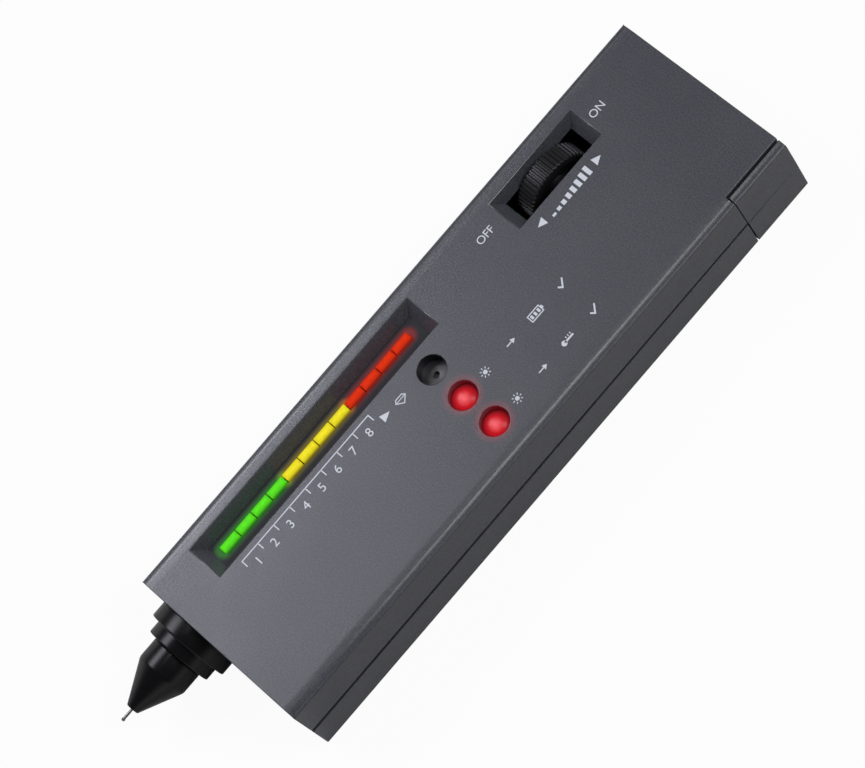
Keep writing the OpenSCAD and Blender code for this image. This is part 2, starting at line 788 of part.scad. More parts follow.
// A chip with two rows of legs, lying along Y
module chip(legs) {
  leg_w = 0.6;
  leg_t = 0.4;
  leg_out = 0.9;
  lift = 0.5;
  side_legs = legs / 2;
  shoulder = lift + chip_h / 2;
  leg_x = chip_w / 2 + leg_out;
  block(0, 0, chip_w, side_legs * chip_pitch, lift, lift + chip_h);
  for (i = [0:side_legs - 1], s = [-1, 1])
    on_side(s) translate([0, (i - (side_legs - 1) / 2) * chip_pitch, 0]) {
      span([leg_x - 2 * leg_out, -leg_w / 2, shoulder - leg_t], [leg_x, leg_w / 2, shoulder]);
      span([leg_x - leg_t, -leg_w / 2, 0], [leg_x, leg_w / 2, shoulder]);
    }
}

module driver_chips() {
  color("#202024") {
    on_board(-0.124, 0.432) chip(18);
    on_board(0.47, 0.222) chip(8);
  }
}

module resistors() {
  body_d = 2;
  body_l = 6;
  wire_d = 0.6;
  span_l = 9;
  row_pitch = 1.5 * body_d;
  color("#cbb28a") on_board(0.47, 0.327)
    for (i = [0:5])
      translate([0, row_pitch * i, 0]) {
        translate([-body_l / 2, 0, body_d / 2]) rotate([0, 90, 0]) cylinder(d = body_d, h = body_l);
        translate([-span_l / 2, 0, body_d / 2]) rotate([0, 90, 0]) cylinder(d = wire_d, h = span_l);
        for (s = [-1, 1]) translate([s * (span_l - wire_d) / 2, 0, 0]) cylinder(d = wire_d, h = body_d / 2);
      }
}

module capacitors() {
  can_d = 5;
  can_h = 6.6;
  color("#26324d")
    for (p = [[0.84, 0.3], [0.84, 0.392], [-0.2, 0.196]])
      on_board(p[0], p[1]) cylinder(d = can_d, h = can_h);
}

module trimmers() {
  side = 6.6;
  body_h = 4.4;
  rotor_d = 3.6;
  rotor_h = 0.6;
  color("#2c5fa8")
    for (u = [0.173, 0.545])
      on_board(u, 0.65) {
        block(0, 0, side, side, 0, body_h);
        cylinder(d = rotor_d, h = body_h + rotor_h);
      }
}

// Thumbwheel with straight ribs on its rim
module wheel_outline() {
  crest_r = wheel_d / 2;
  root_r = crest_r - rib_depth;
  step = 360 / wheel_ribs;
  polygon([
    for (i = [0:wheel_ribs - 1], k = [0:3])
      let (a = (i + [0.05, 0.2, 0.6, 0.75][k]) * step, r = k == 1 || k == 2 ? crest_r : root_r)
      [r * cos(a), r * sin(a)]
  ]);
}

module thumbwheel() {
  rim_t = 1.6;
  rim_drop = 0.2;
  rib_end = 0.35;
  rim_r = wheel_d / 2 - rib_depth - rim_drop;
  color("#161618") on_wheel_axis() difference() {
    union() {
      translate([0, 0, rib_end - wheel_t / 2]) linear_extrude(wheel_t - 2 * rib_end) wheel_outline();
      translate([0, 0, -wheel_t / 2]) cylinder(r = rim_r, h = wheel_t);
    }
    for (s = [-1, 1])
      translate([0, 0, s * wheel_t / 2]) difference() {
        cylinder(r = rim_r - rim_t, h = 2 * wheel_dish, center = true);
        cylinder(d = hub_d, h = 2 * wheel_t, center = true);
      }
    translate([0, 0, wheel_screw_head_h + shaft_seat - wheel_t / 2])
      cylinder(d = shaft_d + 2 * fit, h = wheel_t);
    translate([0, 0, -wheel_t]) cylinder(d = wheel_screw_d + 2 * fit, h = 2 * wheel_t);
    translate([0, 0, -wheel_t])
      cylinder(d = wheel_screw_head_d + 2 * fit, h = wheel_t / 2 + wheel_screw_head_h);
  }
}

module wheel_screw() {
  seat = wheel_screw_head_h - wheel_t / 2;
  color("silver") on_wheel_axis() {
    translate([0, 0, seat - wheel_screw_head_h]) cylinder(d = wheel_screw_head_d, h = wheel_screw_head_h);
    translate([0, 0, seat - wheel_screw_head_h / 2])
      cylinder(d = wheel_screw_d, h = wheel_screw_l + wheel_screw_head_h / 2);
  }
}

module pot_shaft() {
  start = wheel_screw_head_h + shaft_seat - wheel_t / 2 + fit;
  finish = wheel_t / 2 + turn_gap + pot_bore_l - fit;
  color("#c8a552") on_wheel_axis() difference() {
    translate([0, 0, start]) cylinder(d = shaft_d, h = finish - start);
    cylinder(d = wheel_screw_d + 2 * fit, h = 2 * wheel_screw_l, center = true);
  }
}

module potentiometer() {
  lug_w = 0.8;
  lug_t = 0.4;
  lug_pitch = 1.3;
  lug_reach = 3;
  lug_root = 2;
  face_u = wheel_t / 2 + turn_gap;
  color("#8d8f94") {
    on_wheel_axis() difference() {
      translate([0, 0, face_u]) cylinder(d = pot_d, h = pot_t);
      translate([0, 0, face_u - over]) cylinder(d = shaft_d + 2 * fit, h = pot_bore_l + over);
    }
    in_case()
      for (i = [-1:1])
        translate([(pot_x0 + pot_x1) / 2 + i * lug_pitch, 0, board_top])
          span([-lug_w / 2, tongue_end - lug_reach, 0], [lug_w / 2, wheel_y - lug_root, lug_t]);
  }
}

// A bar with rounded long edges, standing on the origin
module round_bar(w, t, l, r) {
  linear_extrude(l) {
    translate([-w / 2, r - t / 2]) square([w, t - 2 * r]);
    translate([r - w / 2, -t / 2]) square([w - 2 * r, t]);
    for (x = [r - w / 2, w / 2 - r], y = [r - t / 2, t / 2 - r]) translate([x, y]) circle(r);
  }
}

// Frame on the battery's stud end, with Z pointing towards the probe
module on_battery(y) {
  in_case() translate([battery_x, y, skin + battery_t / 2]) rotate([90, 0, 0]) children();
}

module battery_block() {
  color("#3f4248") on_battery(battery_y + battery_l)
    round_bar(battery_w, battery_t, battery_l, battery_edge);
}

module ring_of(d_out, d_in, h) {
  difference() {
    cylinder(d = d_out, h = h);
    translate([0, 0, -over]) cylinder(d = d_in, h = h + 2 * over);
  }
}

module battery_studs() {
  color("#c9cbd0") on_battery(battery_y) {
    translate([-stud_pitch / 2, 0, 0]) cylinder(d = stud_d, h = stud_h);
    translate([stud_pitch / 2, 0, 0]) ring_of(stud_d + 2 * fit + 2 * crown_t, stud_d + 2 * fit, stud_h);
  }
}

module battery_snap() {
  color("#1c1c1e") on_battery(snap_y + snap_t) round_bar(snap_w, snap_h, snap_t, battery_edge);
}

module snap_contacts() {
  color("#c8a552") on_battery(snap_y + snap_t + contact_h) {
    translate([-stud_pitch / 2, 0, 0]) ring_of(stud_d + 2 * fit + 2 * crown_t, stud_d + 2 * fit, contact_h);
    translate([stud_pitch / 2, 0, 0]) cylinder(d = stud_d, h = contact_h);
  }
}

module snap_leads() {
  route = [for (p = snap_lead_route) [battery_x, snap_y + p[0], board_top + p[1]]];
  color("crimson") in_case()
    for (s = [-1, 1])
      translate([s * snap_lead_side, 0, 0]) tube(route, snap_lead_d, lead_sides, [1, 0, 0]);
}

upper_shell();
lower_shell();
case_screws();
battery_door();
nose_collar();
nose_cone();
probe_guide();
probe_leads();
probe_needle();
probe_core();
probe_heater();
probe_spring();
circuit_board();
board_screws();
bar_mask();
bar_green();
bar_yellow();
bar_red();
battery_lamp();
ready_lamp();
buzzer();
driver_chips();
resistors();
capacitors();
trimmers();
thumbwheel();
wheel_screw();
pot_shaft();
potentiometer();
battery_block();
battery_studs();
battery_snap();
snap_contacts();
snap_leads();
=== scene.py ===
"""Looks of a handheld thermal gem tester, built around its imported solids.

Sizes are millimetres in the row frame: +Z out of the display face, -Y along the probe towards the needle,
+X away from the light bar. They are multiplied by ``MM`` where Blender takes them, in metres.
"""

import logging
import math
from dataclasses import dataclass, field, replace
from enum import Enum
from functools import reduce

import bmesh
import bpy
import numpy as np
from mathutils import Matrix, Vector


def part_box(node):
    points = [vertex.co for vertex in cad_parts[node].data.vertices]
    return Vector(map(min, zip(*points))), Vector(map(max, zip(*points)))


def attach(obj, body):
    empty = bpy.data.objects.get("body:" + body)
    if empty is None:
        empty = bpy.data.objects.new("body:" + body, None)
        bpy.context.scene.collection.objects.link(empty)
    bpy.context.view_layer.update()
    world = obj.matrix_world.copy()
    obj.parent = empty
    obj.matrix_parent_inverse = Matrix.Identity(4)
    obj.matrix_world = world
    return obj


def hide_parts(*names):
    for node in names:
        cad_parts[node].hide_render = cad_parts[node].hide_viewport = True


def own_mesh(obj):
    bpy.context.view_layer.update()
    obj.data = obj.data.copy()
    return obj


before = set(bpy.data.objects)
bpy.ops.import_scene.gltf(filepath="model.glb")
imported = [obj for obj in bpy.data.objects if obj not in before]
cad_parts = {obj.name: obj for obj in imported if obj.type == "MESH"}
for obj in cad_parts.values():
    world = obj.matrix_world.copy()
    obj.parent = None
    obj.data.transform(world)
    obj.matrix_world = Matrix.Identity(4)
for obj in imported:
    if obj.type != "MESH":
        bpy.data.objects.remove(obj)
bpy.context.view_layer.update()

log = logging.getLogger("tester")

MM = 0.001
FULL_TURN = 2.0 * math.pi
SHARP_ANGLE = math.radians(35.0)
FLAT_ANGLE = math.radians(0.5)
MERGE_DISTANCE = 2e-7
CAD_MERGE_DISTANCE = 1e-6
FACE_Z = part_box("upper_shell")[1].z / MM
PROBE_END_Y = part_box("upper_shell")[0].y / MM
SEAM_Z = 9.5
BOARD_Z = 11.1
LAMP_X = (4.721, 13.47)
SOUNDER_X = -4.0275
HOLE_ROW_Y = 7.555
HOLE_RADIUS = 3.15
LIGHT_BAR_X = -14.074
LEAD_STEPS = 6
LEAD_SIDES = 16

Pair = tuple[float, float]
Triple = tuple[float, float, float]
Outline = tuple[Pair, ...]
Tree = bpy.types.NodeTree
Socket = bpy.types.NodeSocket
Inputs = dict[str | int, object]


class Body(Enum):
    """The moving bodies of the tester."""

    CASE = "case"
    PROBE = "probe"
    WHEEL = "wheel"
    DOOR = "door"


class ToolMark(Enum):
    """How a metal surface was worked, as the stretch of its fine marks along X, Y and Z."""

    TURNED = (1.0, 12.0, 1.0)
    DRAWN = (6.0, 0.6, 6.0)
    PLATED = (1.0, 1.0, 1.0)


# Surfaces as whole arrays


@dataclass(frozen=True)
class Surface:
    """Points in millimetres with the four-sided and three-sided faces between them.

    ``glow`` is an optional value per point, from 0 at a lens's edge to 1 at its heart.
    """

    points: np.ndarray
    quads: np.ndarray
    tris: np.ndarray = field(default_factory=lambda: np.empty((0, 3), int))
    glow: np.ndarray | None = None


@dataclass(frozen=True)
class Axis:
    """A turning axis in millimetres: where it starts, where it points and one direction across it."""

    origin: Triple
    along: Triple = (0.0, 0.0, 1.0)
    across: Triple = (1.0, 0.0, 0.0)

    def place(self, height: np.ndarray, radius: np.ndarray, angle: np.ndarray) -> np.ndarray:
        """Place points given in cylinder coordinates.

        A point is origin + height * along + radius * (cos(angle) * across + sin(angle) * (along x across)).

        Args:
            height: Distance along the axis.
            radius: Distance from the axis.
            angle: Turn about the axis in radians.

        Returns:
            The points, with the three coordinates in the last dimension.
        """
        along, across = np.array(self.along), np.array(self.across)
        height, radius, angle = np.broadcast_arrays(height, radius, angle)
        outward = np.cos(angle)[..., None] * across + np.sin(angle)[..., None] * np.cross(along, across)
        return np.array(self.origin) + height[..., None] * along + radius[..., None] * outward


def turns(count: int) -> np.ndarray:
    """Return evenly spaced angles once round."""
    return np.linspace(0.0, FULL_TURN, count, endpoint=False)


def unit(vectors: np.ndarray) -> np.ndarray:
    """Return the vectors at a length of 1."""
    return vectors / np.linalg.norm(vectors, axis=1, keepdims=True)


def skin(points: np.ndarray, wrap_rows: bool = False, glow: np.ndarray | None = None) -> Surface:
    """Join a grid of points into a surface whose columns run round and meet.

    Args:
        points: Grid of shape (rows, columns, 3).
        wrap_rows: Whether the last row joins the first one too.
        glow: One value per row for the glow of its points, or nothing.

    Returns:
        The surface with one quad per grid cell.
    """
    rows, columns = points.shape[:2]
    index = np.arange(rows * columns).reshape(rows, columns)
    index = np.hstack([index, index[:, :1]])
    if wrap_rows:
        index = np.vstack([index, index[:1]])
    quads = np.stack([index[:-1, :-1], index[1:, :-1], index[1:, 1:], index[:-1, 1:]], axis=-1)
    per_point = None if glow is None else np.repeat(np.asarray(glow, float), columns)
    return Surface(points.reshape(-1, 3), quads.reshape(-1, 4), glow=per_point)


def loft(rings: np.ndarray, glow: np.ndarray | None = None) -> Surface:
    """Skin a stack of rings and close both ends, each on the mean point of its last ring.

    Args:
        rings: Array of shape (rings, points, 3).
        glow: One value per ring, or nothing. The closed ends take the value of their ring.

    Returns:
        The closed surface.
    """
    ends = [np.broadcast_to(ring.mean(axis=0), (1, *ring.shape)) for ring in (rings[0], rings[-1])]
    values = None if glow is None else np.concatenate([glow[:1], glow, glow[-1:]])
    return skin(np.concatenate([ends[0], rings, ends[1]]), glow=values)


def joined(surfaces: list[Surface]) -> Surface:
    """Put several surfaces into one, with the face numbers of each moved past the points before it.

    Args:
        surfaces: The surfaces, either all with a glow or all without.

    Returns:
        One surface with all their points and faces.
    """
    starts = np.cumsum([0] + [len(s.points) for s in surfaces[:-1]])
    glows = [s.glow for s in surfaces if s.glow is not None]
    return Surface(
        np.vstack([s.points for s in surfaces]),
        np.vstack([s.quads + start for s, start in zip(surfaces, starts)]),
        np.vstack([s.tris + start for s, start in zip(surfaces, starts)]),
        np.concatenate(glows) if glows else None,
    )


def soften(outline: np.ndarray, reach: float | list[float], steps: int = 5) -> np.ndarray:
    """Round each corner of a closed outline.

    A corner C becomes the arc (1-t)^2 S + 2t(1-t) C + t^2 E, where S and E lie on its two sides at the
    reach from C, or at 0.45 of the shorter side where that is less.

    Args:
        outline: Corners of shape (n, 2).
        reach: Rounding length for all corners, or one for each.
        steps: Points on each arc.

    Returns:
        The rounded outline of shape (n * steps, 2).
    """
    sides = [np.roll(outline, shift, axis=0) - outline for shift in (1, -1)]
    shorter = np.minimum(*(np.linalg.norm(side, axis=1, keepdims=True) for side in sides))
    asked = np.broadcast_to(np.reshape(np.asarray(reach, float), (-1, 1)), shorter.shape)
    length = np.minimum(asked, 0.45 * shorter)
    start, end = ((outline + unit(side) * length)[:, None] for side in sides)
    t = np.linspace(0.0, 1.0, steps)[None, :, None]
    arcs = (1 - t) ** 2 * start + 2 * t * (1 - t) * outline[:, None] + t**2 * end
    return arcs.reshape(-1, 2)


def turned(profile: np.ndarray, axis: Axis, sides: int, closed: bool = True) -> Surface:
    """Turn a profile of (radius, height) points, a closed ring or a line from axis to axis, round an axis."""
    return skin(axis.place(profile[:, 1:], profile[:, :1], turns(sides)[None, :]), wrap_rows=closed)


def spline(route: np.ndarray, steps: int) -> np.ndarray:
    """Draw a smooth path through the points of a route.

    Between two points the path is the cubic whose slope at each point is half the step from the point
    before it to the point after it.

    Args:
        route: Points of shape (n, 3).
        steps: Points between two points of the route.

    Returns:
        The path's points.
    """
    padded = np.vstack([2 * route[0] - route[1], route, 2 * route[-1] - route[-2]])
    p0, p1, p2, p3 = (padded[i:len(padded) - 3 + i, None] for i in range(4))
    t = np.linspace(0.0, 1.0, steps, endpoint=False)[None, :, None]
    bend = (2 * p0 - 5 * p1 + 4 * p2 - p3) * t**2 + (3 * p1 - p0 - 3 * p2 + p3) * t**3
    return np.vstack([(p1 + 0.5 * ((p2 - p0) * t + bend)).reshape(-1, 3), route[-1:]])


def tube(path: np.ndarray, radius: float, sides: int, reference: np.ndarray) -> Surface:
    """Carry a circle along a path.

    Each ring lies square to the path's slope, and its first direction is the slope crossed with the
    reference, so that the tube doesn't twist.

    Args:
        path: Points of shape (n, 3).
        radius: Radius of the tube.
        sides: Points in the circle.
        reference: One direction, or one for each point, that the path never runs along.

    Returns:
        The tube, closed at both ends.
    """
    slope = unit(np.gradient(path, axis=0))
    side = unit(np.cross(slope, reference))
    up = np.cross(side, slope)
    angle = turns(sides)[None, :, None]
    return loft(path[:, None] + radius * (np.cos(angle) * side[:, None] + np.sin(angle) * up[:, None]))


def lead_pair(x: float, apart: float, y: np.ndarray, z: np.ndarray, radius: float) -> Surface:
    """Lay two equal leads at a distance from a middle, each on one smooth route of lengths and heights."""
    routes = [np.column_stack([np.full_like(y, x + side * apart), y, z]) for side in (-1, 1)]
    across = np.array([1.0, 0.0, 0.0])
    return joined([tube(spline(route, LEAD_STEPS), radius, LEAD_SIDES, across) for route in routes])


# Shader nodes

NOISE_SPAN = (0.3, 0.7)
WAVE_RATE = 20.0


def linear(colour: str) -> tuple[float, float, float, float]:
    """Turn an sRGB hex value into linear light.

    Args:
        colour: Hex value such as "#6f6f77".

    Returns:
        Red, green, blue and full alpha.
    """
    srgb = np.array([int(colour[i:i + 2], 16) for i in (1, 3, 5)]) / 255.0
    rgb = np.where(srgb <= 0.04045, srgb / 12.92, ((srgb + 0.055) / 1.055) ** 2.4)
    return (*rgb.tolist(), 1.0)


def add_node(tree: Tree, kind: str, inputs: Inputs | None = None) -> bpy.types.Node:
    """Add a node to a tree.

    Args:
        tree: The node tree.
        kind: The node's type without the leading "ShaderNode".
        inputs: Sockets to link and values to set, by input name or number or by the node's own property.

    Returns:
        The new node.
    """
    node = tree.nodes.new("ShaderNode" + kind)
    for key, value in (inputs or {}).items():
        if isinstance(value, Socket):
            tree.links.new(value, node.inputs[key])
        elif isinstance(key, int) or key in node.inputs:
            node.inputs[key].default_value = value
        else:
            setattr(node, key, value)
    return node


def emptied(owner: bpy.types.Material | bpy.types.World) -> Tree:
    """Return the cleared node tree of a new material or world."""
    owner.use_nodes = True
    owner.node_tree.nodes.clear()
    return owner.node_tree


def solve(tree: Tree, operation: str, *values: object) -> Socket:
    """Return what a Math node makes of its values."""
    return add_node(tree, "Math", {"operation": operation} | dict(enumerate(values))).outputs[0]


def solve_vector(tree: Tree, operation: str, *values: object) -> Socket:
    """Return what a Vector Math node makes of its vectors, which is a number for a length or a distance."""
    node = add_node(tree, "VectorMath", {"operation": operation} | dict(enumerate(values)))
    return node.outputs["Value" if operation in ("LENGTH", "DISTANCE") else "Vector"]


def scaled(tree: Tree, colour: str, share: Socket) -> Socket:
    """Return a colour times a number."""
    return add_node(tree, "VectorMath", {"operation": "SCALE", 0: linear(colour)[:3], "Scale": share}).outputs[0]


def ranged(tree: Tree, value: Socket, source: Pair, target: Pair = (0.0, 1.0), ease: str = "LINEAR") -> Socket:
    """Return a number carried from one range to another and held at its ends."""
    ends = {"From Min": source[0], "From Max": source[1], "To Min": target[0], "To Max": target[1]}
    return add_node(tree, "MapRange", {"interpolation_type": ease, "Value": value} | ends).outputs["Result"]


def noise(tree: Tree, spot: Socket, size: float, detail: float = 2.0, roughness: float = 0.5) -> Socket:
    """Return noise whose features measure the size in millimetres."""
    settings = {"Scale": 1.0 / (size * MM), "Detail": detail, "Roughness": roughness}
    return add_node(tree, "TexNoise", {"Vector": spot} | settings).outputs[0]


def gap(tree: Tree, value: Socket, place: float) -> Socket:
    """Return how far a coordinate lies from a place in millimetres."""
    return solve(tree, "ABSOLUTE", solve(tree, "SUBTRACT", value, place * MM))


def coordinate(tree: Tree, spot: Socket, way: str) -> Socket:
    """Return one coordinate of a place."""
    return add_node(tree, "SeparateXYZ", {0: spot}).outputs[way]


# Finishes


@dataclass(frozen=True)
class Finish:
    """A finish, named for its material and how that was made. Each kind paints its own shader inputs."""

    name: str

    def material(self) -> bpy.types.Material:
        """Make the material on first use.

        Returns:
            The material.
        """
        found = bpy.data.materials.get(self.name)
        if found:
            return found
        material = bpy.data.materials.new(self.name)
        tree = emptied(material)
        spot = add_node(tree, "TexCoord").outputs["Object"]
        shader = add_node(tree, "BsdfPrincipled", self.paint(tree, spot))
        add_node(tree, "OutputMaterial", {"Surface": shader.outputs[0]})
        return material

    def paint(self, tree: Tree, spot: Socket) -> Inputs:
        """Return the shader's inputs, from the object coordinates of a spot."""
        raise NotImplementedError


@dataclass(frozen=True)
class PaintedSpill:
    """Painted light: a coloured glow, put into the plastic round a lit lens as emission, that stands in for the
    light the lens throws there.

    It falls off with the distance from a line along Y, so a line of no length gives a round halo.
    """

    centre: Pair
    half_length: float
    near: float
    far: float
    colour: str
    strength: float

    def light(self, tree: Tree, spot: Socket) -> Socket:
        """Work out the painted halo.

        Args:
            tree: The material's tree.
            spot: Object coordinates.

        Returns:
            The halo's light. The subtracted metre takes the height out of the distance.
        """
        centre = (self.centre[0] * MM, self.centre[1] * MM, 0.0)
        offset = solve_vector(tree, "ABSOLUTE", solve_vector(tree, "SUBTRACT", spot, centre))
        past = solve_vector(tree, "SUBTRACT", offset, (0.0, self.half_length * MM, 1.0))
        away = solve_vector(tree, "LENGTH", solve_vector(tree, "MAXIMUM", past, (0.0, 0.0, 0.0)))
        fall = ranged(tree, away, (self.near * MM, self.far * MM), (self.strength, 0.0), "SMOOTHSTEP")
        return scaled(tree, self.colour, fall)


@dataclass(frozen=True)
class MouldedPlastic(Finish):
    """Plastic out of a mould: one colour right through, with the mould's texture on its skin.

    The colour is darkened as painted shade in the parting groove and down a hole, where hardly any light
    comes back out. Where hands rub the long edges of the face, the texture is worn down and smoother.
    """

    colour: str
    roughness: float
    grain_mm: float
    grain_depth_mm: float = 0.01
    mottle: float = 0.05
    grain_detail: float = 3.0
    grain_roughness: float = 0.6
    cloud_mm: float = 14.0
    cloud_roughness: float = 0.03
    ior: float = 1.5
    groove_half_mm: float = 0.0
    groove_fade_mm: float = 0.12
    groove_light: float = 0.25
    painted_shade_hole: Pair | None = None
    hole_fade_mm: Pair = (0.06, 0.16)
    hole_light: float = 0.2
    rubbed_at_mm: float = 0.0
    rubbed_fade_mm: Pair = (0.4, 0.8)
    rubbed_texture: float = 0.12
    rubbed_gloss_power: float = 0.3
    painted_spills: tuple[PaintedSpill, ...] = ()

    def paint(self, tree: Tree, spot: Socket) -> Inputs:
        """Speckle the colour and lift the skin with fine noise, and vary the gloss with broad noise.

        Args:
            tree: The material's tree.
            spot: Object coordinates.

        Returns:
            The shader's inputs.
        """
        grain = noise(tree, spot, self.grain_mm, self.grain_detail, self.grain_roughness)
        shade = ranged(tree, grain, NOISE_SPAN, (1.0 - self.mottle, 1.0 + self.mottle))
        # painted shade: the colour is darkened in the parting groove and down the hole
        for share in self.painted_shade_shares(tree, spot):
            shade = solve(tree, "MULTIPLY", shade, share)
        limits = (self.roughness - self.cloud_roughness, self.roughness + self.cloud_roughness)
        gloss = ranged(tree, noise(tree, spot, self.cloud_mm), NOISE_SPAN, limits)
        texture: Socket | float = 1.0
        if self.rubbed_at_mm:
            side = solve(tree, "ABSOLUTE", coordinate(tree, spot, "X"))
            ends = (self.rubbed_fade_mm[0] * MM, self.rubbed_fade_mm[1] * MM)
            texture = ranged(tree, gap(tree, side, self.rubbed_at_mm), ends, (self.rubbed_texture, 1.0))
            gloss = solve(tree, "MULTIPLY", gloss, solve(tree, "POWER", texture, self.rubbed_gloss_power))
        relief = {"Strength": texture, "Distance": self.grain_depth_mm * MM, "Height": grain}
        inputs: Inputs = {
            "Base Color": scaled(tree, self.colour, shade), "Roughness": gloss, "IOR": self.ior,
            "Normal": add_node(tree, "Bump", relief).outputs["Normal"],
        }
        # painted light: the glow of the lit lenses is emission in this plastic
        if self.painted_spills:
            halos = [spill.light(tree, spot) for spill in self.painted_spills]
            light = reduce(lambda total, halo: solve_vector(tree, "ADD", total, halo), halos)
            inputs |= {"Emission Color": light, "Emission Strength": 1.0}
        return inputs

    def painted_shade_shares(self, tree: Tree, spot: Socket) -> list[Socket]:
        """Find the painted shade: the share of the colour kept in the parting groove and down the hole, where
        hardly any light comes back out.

        Args:
            tree: The material's tree.
            spot: Object coordinates.

        Returns:
            One painted share of the colour for each of the two that the plastic has.
        """
        shares = []
        # painted shade along the parting groove
        if self.groove_half_mm:
            away = gap(tree, coordinate(tree, spot, "Z"), SEAM_Z)
            ends = (self.groove_half_mm * MM, (self.groove_half_mm + self.groove_fade_mm) * MM)
            shares.append(ranged(tree, away, ends, (self.groove_light, 1.0)))
        # painted shade down the hole
        if self.painted_shade_hole:
            centre = (self.painted_shade_hole[0] * MM, self.painted_shade_hole[1] * MM, 0.0)
            flat = solve_vector(tree, "MULTIPLY", spot, (1.0, 1.0, 0.0))
            start, end = ((HOLE_RADIUS + fade) * MM for fade in self.hole_fade_mm)
            away = solve_vector(tree, "DISTANCE", flat, centre)
            shares.append(ranged(tree, away, (start, end), (self.hole_light, 1.0)))
        return shares


@dataclass(frozen=True)
class LitLens(Finish):
    """A lit lens of tinted diffusing resin: deep colour at the edge and a pale heart over the light source.

    Dyed resin takes in nearly all outside light, so its colour is the light from within. Haze of about a
    millimetre keeps the lit face from looking like flat paint.
    """

    edge: str
    body: str
    heart: str
    body_at: float = 0.45
    roughness: float = 0.5
    ior: float = 1.06
    unlit: str = "#0c0808"
    haze_mm: float = 0.9
    haze: float = 0.07

    def paint(self, tree: Tree, spot: Socket) -> Inputs:
        """Light the lens by the piece's own glow values.

        Args:
            tree: The material's tree.
            spot: Object coordinates.

        Returns:
            The shader's inputs.
        """
        glow = add_node(tree, "Attribute", {"attribute_name": "glow"}).outputs["Fac"]
        ramp = add_node(tree, "ValToRGB", {"Fac": glow})
        stops = ramp.color_ramp.elements
        stops[0].color, stops[1].color = linear(self.edge), linear(self.heart)
        stops.new(self.body_at).color = linear(self.body)
        level = ranged(tree, noise(tree, spot, self.haze_mm), NOISE_SPAN, (1.0 - self.haze, 1.0 + self.haze))
        return {
            "Base Color": linear(self.unlit), "Roughness": self.roughness, "IOR": self.ior,
            "Emission Color": ramp.outputs["Color"], "Emission Strength": level,
        }


@dataclass(frozen=True)
class WorkedMetal(Finish):
    """Bare or plated metal with the fine marks of the tool that made it."""

    colour: str
    roughness: float
    mark: ToolMark = ToolMark.PLATED
    mark_mm: float = 0.25
    mark_depth_mm: float = 0.004
    mark_strength: float = 0.4
    gloss_spread: Pair = (0.8, 1.25)

    def paint(self, tree: Tree, spot: Socket) -> Inputs:
        """Let roughness and height follow noise stretched along the tool's path.

        Args:
            tree: The material's tree.
            spot: Object coordinates.

        Returns:
            The shader's inputs.
        """
        along = add_node(tree, "Mapping", {"Scale": self.mark.value, "Vector": spot}).outputs[0]
        marks = noise(tree, along, self.mark_mm)
        relief = {"Strength": self.mark_strength, "Distance": self.mark_depth_mm * MM, "Height": marks}
        low, high = (share * self.roughness for share in self.gloss_spread)
        return {
            "Base Color": linear(self.colour), "Metallic": 1.0,
            "Roughness": ranged(tree, marks, NOISE_SPAN, (low, high)),
            "Normal": add_node(tree, "Bump", relief).outputs["Normal"],
        }


@dataclass(frozen=True)
class BandedCoat(Finish):
    """A coat in two colours that change across bands, as on a circuit board's tracks or a wrapped jacket."""

    colour: str
    band: str
    band_mm: float
    share: float
    direction: Triple
    wander: float = 0.0
    roughness: float = 0.4
    metallic: float = 0.0
    band_edge: float = 0.03

    def paint(self, tree: Tree, spot: Socket) -> Inputs:
        """Draw the bands from a wave along one direction that noise lets wander.

        Args:
            tree: The material's tree.
            spot: Object coordinates.

        Returns:
            The shader's inputs.
        """
        wave = add_node(tree, "TexWave", {
            "bands_direction": "DIAGONAL", "Vector": solve_vector(tree, "MULTIPLY", spot, self.direction),
            "Scale": 1.0 / (WAVE_RATE * self.band_mm * MM), "Distortion": self.wander, "Detail": 2.0,
        })
        mask = ranged(tree, wave.outputs["Fac"], (self.share - self.band_edge, self.share + self.band_edge))
        colours = {"data_type": "RGBA", 0: mask, 6: linear(self.colour), 7: linear(self.band)}
        mix = add_node(tree, "Mix", colours).outputs[2]
        return {"Base Color": mix, "Roughness": self.roughness, "Metallic": self.metallic}


# ABS from a spark-eroded mould: a dry charcoal skin with fine speckle and a broad, weak sheen, darkened in the
# parting groove as painted shade
CASE_ABS = MouldedPlastic(
    "abs_charcoal_spark_eroded", "#3d3e44", 0.34, 0.34, 0.032, 0.45, groove_half_mm=0.47, rubbed_at_mm=21.1
)
# The same skin on the door, which has no parting groove
DOOR_ABS = replace(CASE_ABS, name="abs_charcoal_spark_eroded_door", groove_half_mm=0.0)
# The same skin, with painted shade down the sounder's hole and the painted red glow of the two lamps on the rims
# of their holes
FACE_ABS = replace(
    CASE_ABS, name="abs_charcoal_spark_eroded_painted_glow_and_shade", painted_shade_hole=(SOUNDER_X, HOLE_ROW_Y),
    painted_spills=tuple(PaintedSpill((x, HOLE_ROW_Y), 0.0, HOLE_RADIUS, HOLE_RADIUS + 1.7, "#e01428", 0.12) for x in LAMP_X),
)
# Polished black ABS: near black with sharp soft-box streaks
NOSE_ABS = MouldedPlastic("abs_black_polished", "#0a0a0c", 0.26, 0.5, 0.002, cloud_roughness=0.04, ior=1.28)
# Black acetal with a fine matt skin, so that only the rib crests catch the light
WHEEL_ACETAL = MouldedPlastic("acetal_black_moulded", "#161618", 0.44, 0.25, 0.006, 0.06, ior=1.4)
